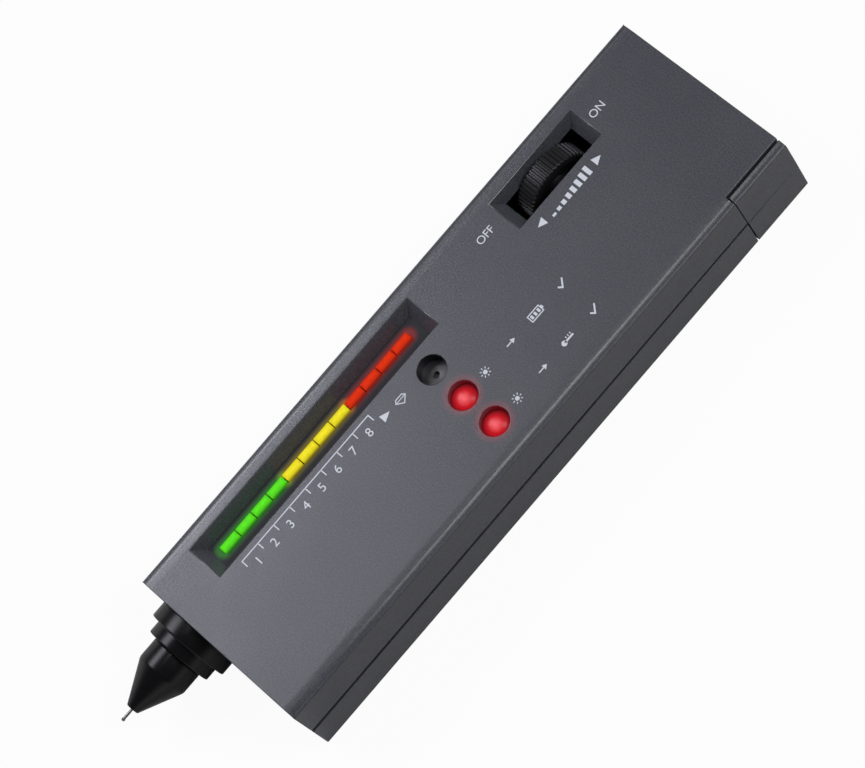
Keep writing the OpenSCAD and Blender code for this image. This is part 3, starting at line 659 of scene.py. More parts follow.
# Black polycarbonate behind the lights, with a painted green, yellow and red glow close to each slot
MASK_PC = MouldedPlastic(
    "polycarbonate_black_painted_glow", "#2c2c30", 0.6, 0.3, 0.006, 0.06, ior=1.2,
    painted_spills=tuple(
        PaintedSpill((-14.3, y), 9.1, 0.8, 2.5, colour, 0.23)
        for y, colour in ((-37.02, "#3cd014"), (-18.14, "#d8c010"), (0.74, "#e0200a"))
    ),
)
# Black moulded sounder, dull and slightly grey
BUZZER_PBT = MouldedPlastic("pbt_black_moulded", "#242428", 0.36, 0.3, 0.006, 0.06)
# Heat-resistant phenolic: warm tan with a visible filler
GUIDE_PHENOLIC = MouldedPlastic("phenolic_tan_moulded", "#b99c66", 0.5, 0.4, 0.006, 0.12)
# Steatite heater sleeve: chalky off-white
HEATER_STEATITE = MouldedPlastic("steatite_fired", "#e1dccf", 0.6, 0.3, 0.006)
# Moulded epoxy of the chips: dull black
CHIP_EPOXY = MouldedPlastic("epoxy_black_moulded", "#202023", 0.6, 0.2, 0.004, 0.08)
# Lacquered resistor bodies: sand with rust-brown bands
RESISTOR_LACQUER = BandedCoat("resistor_lacquer_banded", "#c9ab72", "#7a3320", 1.6, 0.8, (1.0, 0.0, 0.0))
# Shrunk sleeve of the capacitors: dark blue gloss
CAPACITOR_SLEEVE = MouldedPlastic("pvc_sleeve_navy_shrunk", "#1f2c50", 0.28, 0.8, 0.003, 0.04)
# Trimmer bodies: clear mid blue
TRIMMER_PA = MouldedPlastic("polyamide_blue_moulded", "#2c63ad", 0.35, 0.4, 0.004)
# Vinyl of the battery snap: soft, slightly dull black
SNAP_VINYL = MouldedPlastic("vinyl_black_moulded", "#161618", 0.5, 0.4, 0.008)
# Vinyl of the leads: smooth red with a long highlight
LEAD_VINYL = MouldedPlastic("vinyl_red_extruded", "#a52028", 0.42, 0.5, 0.003, 0.04)
# Screen ink: a flat, slightly blue white with tiny pinholes in the film
INK = MouldedPlastic("screen_ink_white", "#c0c5cc", 0.5, 0.25, 0.001)
# Solder mask over copper tracks, a shade lighter where a track runs under it
BOARD_MASK = BandedCoat(
    "laminate_green_solder_mask", "#1f5a34", "#3a7d4c", 1.8, 0.7, (1.0, 0.35, 0.0), wander=3.0, roughness=0.35
)
# Plain lacquered jacket of the battery: dark slate with a paler band
BATTERY_LACQUER = BandedCoat(
    "battery_jacket_lacquered", "#2a3038", "#8a8f98", 46.0, 0.86, (0.0, 1.0, 0.0), roughness=0.35, metallic=0.6
)
# Polished steel needle: mid grey with fine streaks along it
NEEDLE_STEEL = WorkedMetal("steel_polished", "#6e6d6b", 0.3, ToolMark.DRAWN)
# Turned brass core and shaft: warm yellow with rings round the axis
CORE_BRASS = WorkedMetal("brass_turned", "#cfa862", 0.3, ToolMark.TURNED)
# Drawn spring wire: light grey with streaks along the wire
SPRING_WIRE = WorkedMetal("spring_wire_drawn", "#a5a6a9", 0.3, ToolMark.DRAWN)
# Zinc plated screws: pale, slightly cloudy metal
SCREW_ZINC = WorkedMetal("steel_zinc_plated", "#bcbec3", 0.34)
# Blackened can of the potentiometer: dark metal with a dull sheen
POT_CAN = WorkedMetal("steel_blackened", "#2c2c30", 0.45)
# Nickel plated contacts: bright, slightly warm metal
CONTACT_NICKEL = WorkedMetal("nickel_plated", "#d8d4cc", 0.2)


# Pieces in the scene

EDGE_SEGMENTS = 3
BOX_REACH = 0.12


def settle(obj: bpy.types.Object, finish: Finish, body: Body, nodes: tuple[str, ...]) -> None:
    """Dress a new object, hang it on its body and hide the CAD nodes that it stands for.

    Args:
        obj: The object, in place.
        finish: Its finish.
        body: The body that it moves with.
        nodes: CAD nodes that it replaces, or none.
    """
    bpy.context.scene.collection.objects.link(obj)
    obj.data.materials.clear()
    obj.data.materials.append(finish.material())
    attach(obj, body.value)
    if nodes:
        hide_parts(*nodes)
    log.info("piece %s: %d faces on %s", obj.name, len(obj.data.polygons), body.value)


def smoothed(mesh: bpy.types.Mesh) -> None:
    """Shade a mesh smooth, apart from its sharp edges."""
    mesh.shade_smooth()
    mesh.set_sharp_from_angle(angle=SHARP_ANGLE)


def piece(
    name: str, surface: Surface, finish: Finish, body: Body, nodes: tuple[str, ...] = ()
) -> bpy.types.Object:
    """Make a surface an object with closed seams, outward faces and smooth shading.

    Args:
        name: Name of the piece.
        surface: Its surface in millimetres.
        finish: Its finish.
        body: The body that it moves with.
        nodes: CAD nodes that it replaces.

    Returns:
        The new object.
    """
    mesh = bpy.data.meshes.new(name)
    mesh.from_pydata((surface.points * MM).tolist(), [], surface.quads.tolist() + surface.tris.tolist())
    if surface.glow is not None:
        glow = mesh.attributes.new("glow", "FLOAT", "POINT")
        glow.data.foreach_set("value", surface.glow.astype(np.float32))
    work = bmesh.new()
    work.from_mesh(mesh)
    bmesh.ops.remove_doubles(work, verts=work.verts, dist=MERGE_DISTANCE)
    bmesh.ops.recalc_face_normals(work, faces=work.faces)
    work.to_mesh(mesh)
    work.free()
    smoothed(mesh)
    obj = bpy.data.objects.new(name, mesh)
    settle(obj, finish, body, nodes)
    return obj


def eased_copy(node: str, finish: Finish, body: Body, radius: float) -> None:
    """Copy a CAD node, merge its triangles and round the sharp edges on the sides of its box.

    The radius is carried by a Bevel modifier.

    Args:
        node: The CAD node, which the copy replaces.
        finish: The copy's finish.
        body: The body that it moves with.
        radius: Edge radius in millimetres.
    """
    name = node + "_eased"
    mesh = bpy.data.meshes.new(name)
    work = bmesh.new()
    work.from_mesh(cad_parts[node].data)
    bmesh.ops.remove_doubles(work, verts=work.verts, dist=CAD_MERGE_DISTANCE)
    bmesh.ops.dissolve_limit(work, angle_limit=FLAT_ANGLE, verts=work.verts, edges=work.edges)
    work.to_mesh(mesh)
    work.free()
    if "custom_normal" in mesh.attributes:
        mesh.attributes.remove(mesh.attributes["custom_normal"])
    smoothed(mesh)
    sharp = np.zeros(len(mesh.edges), bool)
    mesh.attributes["sharp_edge"].data.foreach_get("value", sharp)
    weight = (sharp & outer_edges(mesh, node)).astype(np.float32)
    mesh.attributes.new("bevel_weight_edge", "FLOAT", "EDGE").data.foreach_set("value", weight)
    obj = bpy.data.objects.new(name, mesh)
    bevel = obj.modifiers.new("edge_radius", "BEVEL")
    bevel.width = radius * MM
    bevel.segments = EDGE_SEGMENTS
    bevel.limit_method = "WEIGHT"
    bevel.harden_normals = True
    bevel.use_clamp_overlap = False
    obj.modifiers.new("flat_faces", "WEIGHTED_NORMAL").keep_sharp = True
    settle(obj, finish, body, (node,))


def outer_edges(mesh: bpy.types.Mesh, node: str) -> np.ndarray:
    """Find the edges whose two ends both lie on one side of a node's box.

    Args:
        mesh: The merged copy of the node.
        node: The CAD node, for its box.

    Returns:
        One truth value for each edge.
    """
    points = np.empty(len(mesh.vertices) * 3)
    mesh.vertices.foreach_get("co", points)
    points = points.reshape(-1, 3)
    ends = np.empty(len(mesh.edges) * 2, int)
    mesh.edges.foreach_get("vertices", ends)
    low, high = (np.array(corner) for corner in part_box(node))
    on_box = np.hstack([points < low + BOX_REACH * MM, points > high - BOX_REACH * MM])
    return (on_box[ends[0::2]] & on_box[ends[1::2]]).any(axis=1)


def dress(finishes: dict[str, Finish]) -> None:
    """Give CAD nodes that keep their shape their procedural materials."""
    for node, finish in finishes.items():
        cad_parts[node].material_slots[0].material = finish.material()
        log.info("node %s: dressed", node)


# Sub-assemblies


@dataclass
class CaseShells:
    """The two shells, the battery door and the screws that hold the shells together."""

    edge_radius: float = 0.16
    screw_spots: Outline = ((-16.975, -52.45), (16.975, -52.45), (16.975, 27.5), (-14.428, 66.15))
    screw_face_z: float = 0.7
    screw_seat: float = 1.5
    screw_head_radius: float = 2.1
    screw_shank_radius: float = 1.2
    screw_tip_z: float = 15.2
    screw_point: float = 0.9
    screw_tip: float = 0.45
    head_rings: Outline = ((1.0, 0.45), (0.93, 0.12), (0.8, 0.0))
    recess_rings: Outline = ((1.0, 0.02), (0.94, 0.1), (0.8, 0.57))
    recess_reach: float = 1.15
    recess_depth: float = 0.95
    recess_floor: float = 0.35
    recess_arm: float = math.radians(15.0)
    screw_sides: int = 96

    def build(self) -> None:
        """Make the eased shells, the eased door and the cross-head screws."""
        eased_copy("upper_shell", FACE_ABS, Body.CASE, self.edge_radius)
        eased_copy("lower_shell", CASE_ABS, Body.CASE, self.edge_radius)
        eased_copy("battery_door", DOOR_ABS, Body.DOOR, self.edge_radius)
        screws = joined([self.screw(x, y) for x, y in self.screw_spots])
        piece("case_screws_cross", screws, SCREW_ZINC, Body.CASE, ("case_screws",))

    def screw(self, x: float, y: float) -> Surface:
        """Shape one screw as rings round its axis, from the tip of its shank to the bottom of its recess.

        The recess's rings follow a cross: at an angle a from the nearest arm the radius is reach / cos(a)
        on the arm's end and half the arm's width / sin(a) on its side.

        Args:
            x: Place of the axis across the case.
            y: Place of the axis along the case.

        Returns:
            The screw.
        """
        angle = turns(self.screw_sides)
        from_arm = np.abs((angle + math.pi / 4) % (math.pi / 2) - math.pi / 4)
        arm_half = math.tan(self.recess_arm)
        side_reach = arm_half / np.maximum(np.sin(from_arm), arm_half / 2)
        cross = self.recess_reach * np.minimum(1.0 / np.cos(from_arm), side_reach)
        ring = np.ones(self.screw_sides)
        head, shank = self.screw_head_radius * ring, self.screw_shank_radius * ring
        length, seat = self.screw_tip_z - self.screw_face_z, self.screw_seat
        rings = [
            (self.screw_tip * shank, length), (shank, length - self.screw_point), (shank, seat), (head, seat),
            *((share * head, height) for share, height in self.head_rings),
            *((share * cross, height) for share, height in self.recess_rings),
            (self.recess_floor * self.recess_reach * ring, self.recess_depth),
        ]
        radii = np.array([radius for radius, _ in rings])
        heights = np.array([[height] for _, height in rings])
        return loft(Axis((x, y, self.screw_face_z)).place(heights, radii, angle[None, :]))


@dataclass
class ProbeNose:
    """The stepped nose with the sprung needle, its spring and its leads."""

    axis_x: float = -10.516
    axis_z: float = 9.5
    collar: Outline = (
        (3.55, -4.4), (7.75, -4.4), (7.75, -2.1), (6.5, -2.1), (6.5, 0.0), (9.15, 0.0), (9.15, 3.8), (7.45, 3.8),
        (7.45, 6.65), (4.6, 6.65), (4.6, 1.0), (3.55, 1.0),
    )
    collar_ease: float = 0.32
    cone: Outline = (
        (0.85, 20.65), (0.85, 14.55), (3.0, 14.55), (3.0, 1.0), (4.55, 1.0), (4.55, 6.65), (5.7, 6.65),
        (5.7, 11.65), (1.35, 20.65),
    )
    cone_ease: float = 0.5
    nose_sides: int = 160
    needle_radius: float = 0.3
    needle_ball: float = 0.4
    needle_root: float = 18.1
    needle_end: float = 23.7
    needle_steps: int = 20
    needle_sides: int = 40
    spring_radius: float = 2.05
    spring_wire: float = 0.45
    spring_curls: int = 6
    spring_steps: int = 48
    spring_sides: int = 14
    spring_start: float = 3.05
    spring_end: float = 9.45
    press_travel: float = 1.5
    lead_radius: float = 0.45
    lead_side: float = 2.0
    lead_start_y: float = -56.05
    lead_rise: float = 1.6
    lead_route: tuple[Triple, ...] = (
        (0, 0, 0), (1.1, 0, 0), (2.1, 0.2, 0.16), (3, 0.6, 0.8), (4, 0.9, 1.3), (5.2, 1, 1.6), (6.2, 1, 1.7),
        (6.9, 1, 1.2), (7, 1, 0.5), (7, 1, 0),
    )

    def axis(self) -> Axis:
        """Return the probe axis, out of the probe end of the case."""
        return Axis((self.axis_x, PROBE_END_Y, self.axis_z), (0.0, -1.0, 0.0))

    def build(self) -> None:
        """Turn the nose and the needle, wind the spring and lay the leads."""
        noses = (("nose_collar", self.collar, self.collar_ease), ("nose_cone", self.cone, self.cone_ease))
        for node, outline, ease in noses:
            shape = turned(soften(np.array(outline), ease), self.axis(), self.nose_sides)
            piece(node + "_turned", shape, NOSE_ABS, Body.CASE, (node,))
        piece("probe_needle_ball", self.needle(), NEEDLE_STEEL, Body.PROBE, ("probe_needle",))
        wound = self.spring()
        spring = piece("probe_spring_wound", wound, SPRING_WIRE, Body.CASE, ("probe_spring",))
        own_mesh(spring)
        along, up, over = np.array(self.lead_route, float).T
        height = self.axis_z + self.lead_rise * up + over
        leads = lead_pair(self.axis_x, self.lead_side, self.lead_start_y + along, height, self.lead_radius)
        piece("probe_leads_laid", leads, LEAD_VINYL, Body.CASE, ("probe_leads",))
        dress({"probe_guide": GUIDE_PHENOLIC, "probe_core": CORE_BRASS, "probe_heater": HEATER_STEATITE})

    def needle(self) -> Surface:
        """Turn the needle: a straight wire that runs into a ball of a larger radius at its end.

        Returns:
            The needle.
        """
        rise = math.asin(self.needle_radius / self.needle_ball)
        around = np.linspace(math.pi - rise, 0.0, self.needle_steps)
        arc = np.column_stack([np.sin(around), np.cos(around)])
        ball = np.array([0.0, self.needle_end - self.needle_ball]) + self.needle_ball * arc
        wire = np.array([[0.0, self.needle_root], [self.needle_radius, self.needle_root]])
        return turned(np.vstack([wire, ball]), self.axis(), self.needle_sides, closed=False)

    def spring(self) -> Surface:
        """Wind the spring: the wire's centre goes round at one radius while it moves on evenly.

        Returns:
            The spring as one tube.
        """
        steps = self.spring_steps * self.spring_curls + 1
        turn = np.linspace(0.0, FULL_TURN * self.spring_curls, steps)
        half = self.spring_wire / 2
        height = np.linspace(self.spring_start + half, self.spring_end - half, steps)
        path = self.axis().place(height, np.full_like(turn, self.spring_radius), turn)
        outward = path - self.axis().place(height, np.zeros_like(turn), turn)
        return tube(path, half, self.spring_sides, outward)


@dataclass
class LightBar:
    """The mask in the sloping window and the twelve lit segments in it."""

    first_y: float = -46.35
    pitch: float = 4.72
    segment_length: float = 4.5
    segment_width: float = 1.75
    foot_width: float = 3.0
    foot_height: float = 1.0
    mask_z: float = 17.4
    top_z: float = 18.4
    edge_ease: float = 0.26
    corner: float = 0.22
    per_colour: int = 4
    colours: tuple[tuple[str, str, str, str], ...] = (
        ("green", "#1d6a10", "#4cc41c", "#5cea26"), ("yellow", "#7a6a0c", "#d8c81c", "#f4e62c"),
        ("red", "#6a1408", "#c0280c", "#e0320f"),
    )

    def build(self) -> None:
        """Make the segments of the three colours and dress the mask."""
        for place, (colour, edge, body, heart) in enumerate(self.colours):
            start = place * self.per_colour
            segments = joined([self.segment(index) for index in range(start, start + self.per_colour)])
            lens = LitLens(f"resin_{colour}_lit", edge, body, heart)
            piece(f"bar_{colour}_lenses", segments, lens, Body.CASE, (f"bar_{colour}",))
        dress({"bar_mask": MASK_PC})

    def segment(self, index: int) -> Surface:
        """Stack rounded rectangles into one segment with a foot on the board and a flat top with eased edges.

        Args:
            index: Place in the row, from the probe end.

        Returns:
            The segment, whose glow is full along the middle of its top and gone below the mask.
        """
        middle = (LIGHT_BAR_X, self.first_y + index * self.pitch + self.segment_length / 2)
        foot_z, ease, width = BOARD_Z + self.foot_height, self.edge_ease, self.segment_width
        # Height, width, inset and glow of each level
        levels = [
            (BOARD_Z, self.foot_width, 0.0, 0.0), (foot_z, self.foot_width, 0.0, 0.0), (foot_z, width, 0.0, 0.0),
            (self.mask_z, width, 0.0, 0.1), (self.top_z - ease, width, 0.0, 0.35),
            (self.top_z - 0.3 * ease, width, 0.3 * ease, 0.6), (self.top_z, width, ease, 0.68),
            (self.top_z, width, 2 * ease, 0.9), (self.top_z, width, 3 * ease, 1.0),
        ]
        square = np.array(block(-0.5, -0.5, 0.5, 0.5))
        rings = []
        for z, across, inset, _ in levels:
            size = np.array([across - 2 * inset, self.segment_length - 2 * inset])
            outline = soften(square * size, self.corner)
            rings.append(np.column_stack([outline + middle, np.full(len(outline), z)]))
        return loft(np.array(rings), np.array([glow for *_, glow in levels]))


@dataclass
class LampRow:
    """The two red lamps and the sounder behind their round holes."""

    lamp_radius: float = 3.05
    foot_radius: float = 3.45
    cap_height: float = 1.3
    foot_height: float = 1.0
    lamp_top_z: float = 20.2
    lamp_sides: int = 64
    dome_steps: int = 24
    heart_at: Pair = (0.45, -0.3)
    heart_reach: float = 3.3
    sounder_radius: float = 4.2
    sounder_top_z: float = 17.3
    sounder_eases: tuple[float, ...] = (0.0, 0.1, 0.35, 0.2, 0.1, 0.0)
    sounder_sides: int = 72
    port_radius: float = 0.6
    port_depth: float = 1.0

    def build(self) -> None:
        """Turn the lamps and the sounder."""
        lens = LitLens("resin_lamp_red_lit", "#38050a", "#c41622", "#ff6870", 0.5, roughness=0.3, ior=1.22)
        for node, x in zip(("battery_lamp", "ready_lamp"), LAMP_X):
            piece(node + "_dome", self.lamp(x), lens, Body.CASE, (node,))
        piece("buzzer_can", self.sounder(), BUZZER_PBT, Body.CASE, ("buzzer",))

    def lamp(self, x: float) -> Surface:
        """Turn a lamp: foot ring, straight wall and low dome.

        A dome of height h over a radius r lies on a ball of radius (r^2 + h^2) / 2h. The glow falls evenly
        with the distance across the lamp from its heart, which lies beside the axis over the light source.

        Args:
            x: Place across the case.

        Returns:
            The lamp.
        """
        foot, rim = self.foot_radius, self.lamp_radius
        base = np.array([[0.0, 0.0], [foot, 0.0], [foot, self.foot_height], [rim, self.foot_height]])
        ball = (rim**2 + self.cap_height**2) / (2 * self.cap_height)
        around = np.linspace(math.acos(rim / ball), math.pi / 2, self.dome_steps)
        middle = self.lamp_top_z - BOARD_Z - ball
        dome = np.column_stack([ball * np.cos(around), middle + ball * np.sin(around)])
        axis = Axis((x, HOLE_ROW_Y, BOARD_Z))
        shape = turned(np.vstack([base, dome]), axis, self.lamp_sides, closed=False)
        heart = np.array([x, HOLE_ROW_Y]) + self.heart_at
        away = np.linalg.norm(shape.points[:, :2] - heart, axis=1)
        return replace(shape, glow=np.clip(1.0 - away / self.heart_reach, 0.0, 1.0))

    def sounder(self) -> Surface:
        """Turn the sounder: a low can with an eased rim and a round port in its top.

        Returns:
            The sounder.
        """
        can, port, height = self.sounder_radius, self.port_radius, self.sounder_top_z - BOARD_Z
        floor = height - self.port_depth
        profile = np.array([[0.0, 0.0], [can, 0.0], [can, height], [port, height], [port, floor], [0.0, floor]])
        eased = soften(profile, list(self.sounder_eases))
        return turned(eased, Axis((SOUNDER_X, HOLE_ROW_Y, BOARD_Z)), self.sounder_sides, closed=False)


@dataclass
class VolumeWheel:
    """The ribbed thumbwheel on its potentiometer."""

    centre: Triple = (-14.428, 52.55, 12.4)
    radius: float = 8.4
    half_thickness: float = 2.1
    dish: float = 0.9
    rim_inner: float = 6.3
    hub_radius: float = 3.0
    bore_radius: float = 1.6
    head_bore: float = 1.68
    head_seat: float = 0.85
    ribs: int = 48
    rib_depth: float = 0.42
    edge_ease: float = 0.18
    rim_ease: float = 0.4
    ease_steps: int = 6
    samples_per_rib: int = 12

    def build(self) -> None:
        """Make the wheel and dress the pieces on its axis."""
        piece("thumbwheel_ribbed", self.wheel(), WHEEL_ACETAL, Body.WHEEL, ("thumbwheel",))
        dress({"wheel_screw": SCREW_ZINC, "pot_shaft": CORE_BRASS, "potentiometer": POT_CAN})

    def wheel(self) -> Surface:
        """Turn the wheel's section and press the grooves between the ribs into its rim.

        The radius of the outermost points drops by the rib depth times a pulse of the angle: the smooth
        step of 0.5 - 0.9 cos(ribs * angle), which is flat on each crest and in each groove.

        Returns:
            The wheel.
        """
        half = self.half_thickness
        inner, seat = half - self.dish, self.head_seat - half
        hub, rim, bore, head = self.hub_radius, self.rim_inner, self.bore_radius, self.head_bore
        section = np.array([
            [head, -half], [hub, -half], [hub, -inner], [rim, -inner], [rim, -half], [self.radius, -half],
            [self.radius, half], [rim, half], [rim, inner], [hub, inner], [hub, half], [bore, half],
            [bore, seat], [head, seat],
        ])
        eases = [self.edge_ease] * 5 + [self.rim_ease] * 2 + [self.edge_ease] * 5 + [0.0] * 2
        profile = soften(section, eases, self.ease_steps)
        angle = turns(self.ribs * self.samples_per_rib)[None, :]
        pulse = np.clip(0.5 - 0.9 * np.cos(self.ribs * angle), 0.0, 1.0)
        pulse = pulse**2 * (3 - 2 * pulse)
        reach = np.clip((profile[:, :1] - (self.radius - 2 * self.rib_depth)) / self.rib_depth, 0.0, 1.0)
        radii = profile[:, :1] - self.rib_depth * reach * pulse
        axis = Axis(self.centre, (1.0, 0.0, 0.0), (0.0, 0.0, 1.0))
        return skin(axis.place(profile[:, 1:], radii, angle), wrap_rows=True)


@dataclass
class BoardAndBattery:
    """What lies inside the case: the board with its parts, and the battery with its snap."""

    lead_radius: float = 0.6
    lead_x: float = 7.025
    lead_side: float = 3.0
    lead_start_y: float = 31.2
    lead_route: Outline = (
        (0, 2), (-1.2, 2), (-2.8, 2.6), (-4.8, 3.2), (-6.8, 3.1), (-8.8, 2.5), (-9.9, 1.4), (-10, 0.6), (-10, 0),
    )

    def build(self) -> None:
        """Lay the snap leads and dress the inner CAD nodes."""
        along, over = np.array(self.lead_route, float).T
        y, z = self.lead_start_y + along, BOARD_Z + over
        leads = lead_pair(self.lead_x, self.lead_side, y, z, self.lead_radius)
        piece("snap_leads_laid", leads, LEAD_VINYL, Body.CASE, ("snap_leads",))
        dress({
            "circuit_board": BOARD_MASK, "board_screws": SCREW_ZINC, "driver_chips": CHIP_EPOXY,
            "resistors": RESISTOR_LACQUER, "capacitors": CAPACITOR_SLEEVE, "trimmers": TRIMMER_PA,
            "battery_block": BATTERY_LACQUER, "battery_studs": CONTACT_NICKEL, "battery_snap": SNAP_VINYL,
            "snap_contacts": CONTACT_NICKEL,
        })


# Print on the face


def block(left: float, low: float, right: float, high: float) -> Outline:
    """Return the corners of an upright rectangle."""
    return ((left, low), (right, low), (right, high), (left, high))


def polar(radius: float, part: float, middle: float = 0.0) -> Pair:
    """Return the point at a radius and a part of a full turn, about a middle on the level axis."""
    return middle + radius * math.cos(part * FULL_TURN), radius * math.sin(part * FULL_TURN)


def disc(radius: float, middle: float = 0.0) -> Outline:
    """Return the outline of a disc about a middle on the level axis."""
    return tuple(polar(radius, k / 32, middle) for k in range(32))


@dataclass(frozen=True)
class Pictogram:
    """Filled shapes, and open and closed lines as (width, path), about the middle of a sign 2 mm high."""

    patches: tuple[Outline, ...] = ()
    strokes: tuple[tuple[float, Outline], ...] = ()
    loops: tuple[tuple[float, Outline], ...] = ()


class Sign(Enum):
    """The plain pictograms printed beside the lamps and the scale."""

    LAMP = Pictogram((disc(0.48),), tuple((0.2, (polar(0.75, k / 8), polar(1.15, k / 8))) for k in range(8)))
    ARROW = Pictogram((((0.3, -0.62), (1.25, 0.0), (0.3, 0.62)),), ((0.26, ((-1.1, 0.0), (0.4, 0.0))),))
    BATTERY = Pictogram(
        (block(1.62, -0.38, 1.98, 0.38), *(block(x, -0.45, x + 0.55, 0.45) for x in (-1.35, -0.4, 0.55))),
        loops=((0.24, block(-1.7, -0.8, 1.5, 0.8)),),
    )
    WARMTH = Pictogram(
        (disc(0.62, -1.1),),
        ((0.42, ((-0.9, 0.0), (1.5, 0.0))), *((0.2, ((x, 0.42), (x, 0.85))) for x in (0.0, 0.6, 1.2))),
    )
    TICK = Pictogram(strokes=((0.36, ((-0.95, 0.05), (-0.3, -0.75), (1.05, 0.85))),))
    STONE = Pictogram(
        strokes=((0.18, ((-1.4, 0.25), (1.4, 0.25))),),
        loops=((0.22, ((-0.85, 0.85), (0.85, 0.85), (1.4, 0.25), (0.0, -0.95), (-1.4, 0.25))),),
    )


@dataclass
class PrintedMarks:
    """White print on the display face. Its own directions are right = +Y and up = -X, as the print reads."""

    film: float = 0.02
    line: float = 0.24
    bracket_up: float = 8.095
    bracket_start: float = 16.1
    tick_pitch: float = 4.74
    ticks: int = 9
    tick_length: float = 1.65
    numeral_up: float = 5.475
    numeral_height: float = 1.95
    pointer_at: Pair = (55.2, 5.125)
    pointer_half: float = 0.95
    pointer_length: float = 2.2
    switch_height: float = 1.75
    switch_words: tuple[tuple[str, Pair], ...] = (("ON", (129.7, 13.925)), ("OFF", (96.3, 14.475)))
    level_up: float = 6.725
    level_ends: Pair = (104.0, 123.0)
    level_tip: Pair = (2.0, 1.0)
    bars: int = 8
    bar_start: float = 107.6
    bar_pitch: float = 1.55
    bar_width: float = 0.95
    bar_drop: float = 1.15
    bar_height: float = 0.55
    bar_growth: float = 0.25
    sign_pitch: float = 7.6
    sign_rows: tuple[tuple[Pair, tuple[Sign, ...]], ...] = (
        ((75.3, -5.075), (Sign.LAMP, Sign.ARROW, Sign.BATTERY, Sign.TICK)),
        ((75.3, -13.975), (Sign.LAMP, Sign.ARROW, Sign.WARMTH, Sign.TICK)),
        ((60.6, 4.775), (Sign.STONE,)),
    )
    narrowest_mitre: float = 0.3

    def build(self) -> None:
        """Print the scale, the switch words, the level marks and the pictograms."""
        middles = self.bracket_start + self.tick_pitch * (np.arange(self.ticks - 1) + 0.5)
        numerals = [
            self.words(str(number), (right, self.numeral_up), self.numeral_height)
            for number, right in enumerate(middles, 1)
        ]
        switch = [self.words(word, at, self.switch_height) for word, at in self.switch_words]
        groups = {
            "print_scale": self.scale(), "print_numerals": numerals, "print_switch": switch,
            "print_level": self.level(), "print_signs": self.signs(),
        }
        for name, surfaces in groups.items():
            piece(name, joined(surfaces), INK, Body.CASE)

    def on_face(self, flat: np.ndarray, height: float | np.ndarray) -> np.ndarray:
        """Put (right, up) points at a height over the face: right is +Y from the probe end, up is -X."""
        height = np.broadcast_to(height, len(flat))
        return np.column_stack([-flat[:, 1], flat[:, 0] + PROBE_END_Y, FACE_Z + height])

    def patch(self, outline: Outline | np.ndarray) -> Surface:
        """Print a filled shape that its middle can see all of, as a film through the face."""
        return loft(np.array([self.on_face(np.array(outline, float), z) for z in (-self.film, self.film)]))

    def stroke(self, path: Outline | np.ndarray, width: float, closed: bool = False) -> Surface:
        """Print a line of even width along a path.

        At each point the two edges lie at half the width over the cosine of half the turn, along the
        line that halves the turn, so corners are mitred.

        Args:
            path: Points as (right, up).
            width: Width of the line.
            closed: Whether the path comes back to its start.

        Returns:
            The line as a thin film.
        """
        points = np.array(path, float)
        ahead = np.roll(points, -1, axis=0) - points
        if not closed:
            ahead[-1] = ahead[-2]
        ahead = unit(ahead)
        back = np.roll(ahead, 1, axis=0)
        if not closed:
            back[0] = ahead[0]
        normal = unit(np.column_stack([-(ahead + back)[:, 1], (ahead + back)[:, 0]]))
        straight = np.column_stack([-ahead[:, 1], ahead[:, 0]])
        half = width / 2 / np.maximum((normal * straight).sum(axis=1, keepdims=True), self.narrowest_mitre)
        left, right = points + normal * half, points - normal * half
        corners = [(left, -self.film), (left, self.film), (right, self.film), (right, -self.film)]
        rings = np.stack([self.on_face(corner, z) for corner, z in corners], axis=1)
        return skin(rings, wrap_rows=True) if closed else loft(rings)

    def words(self, text: str, middle: Pair, height: float) -> Surface:
        """Set plain characters in Blender's own font as a thin film.

        Args:
            text: The characters.
            middle: Their middle as (right, up).
            height: Height of the characters.

        Returns:
            The film.
        """
        curve = bpy.data.curves.new("characters", "FONT")
        curve.body, curve.extrude = text, 0.5
        carrier = bpy.data.objects.new("characters", curve)
        bpy.context.scene.collection.objects.link(carrier)
        mesh = bpy.data.meshes.new_from_object(carrier.evaluated_get(bpy.context.evaluated_depsgraph_get()))
        mesh.calc_loop_triangles()
        points = np.empty(len(mesh.vertices) * 3)
        mesh.vertices.foreach_get("co", points)
        tris = np.empty(len(mesh.loop_triangles) * 3, int)
        mesh.loop_triangles.foreach_get("vertices", tris)
        bpy.data.objects.remove(carrier)
        bpy.data.curves.remove(curve)
        bpy.data.meshes.remove(mesh)
        points = points.reshape(-1, 3)
        low, high = points.min(axis=0), points.max(axis=0)
        flat = middle + (points - (low + high) / 2)[:, :2] * height / (high - low)[1]
        film = np.sign(points[:, 2]) * self.film
        return Surface(self.on_face(flat, film), np.empty((0, 4), int), tris.reshape(-1, 3))

    def scale(self) -> list[Surface]:
        """Draw the bracket with its ticks and the pointer at its high end.

        Returns:
            The scale's lines and its pointer.
        """
        start, up, foot = self.bracket_start, self.bracket_up, self.bracket_up - self.tick_length
        end = start + (self.ticks - 1) * self.tick_pitch
        outer = self.stroke(((start, foot), (start, up), (end, up), (end, foot)), self.line)
        inner = start + self.tick_pitch * np.arange(1, self.ticks - 1)
        right, middle = self.pointer_at
        low, high = middle - self.pointer_half, middle + self.pointer_half
        pointer = self.patch(((right, high), (right, low), (right + self.pointer_length, middle)))
        return [outer, *(self.stroke(((y, up), (y, foot)), self.line) for y in inner), pointer]

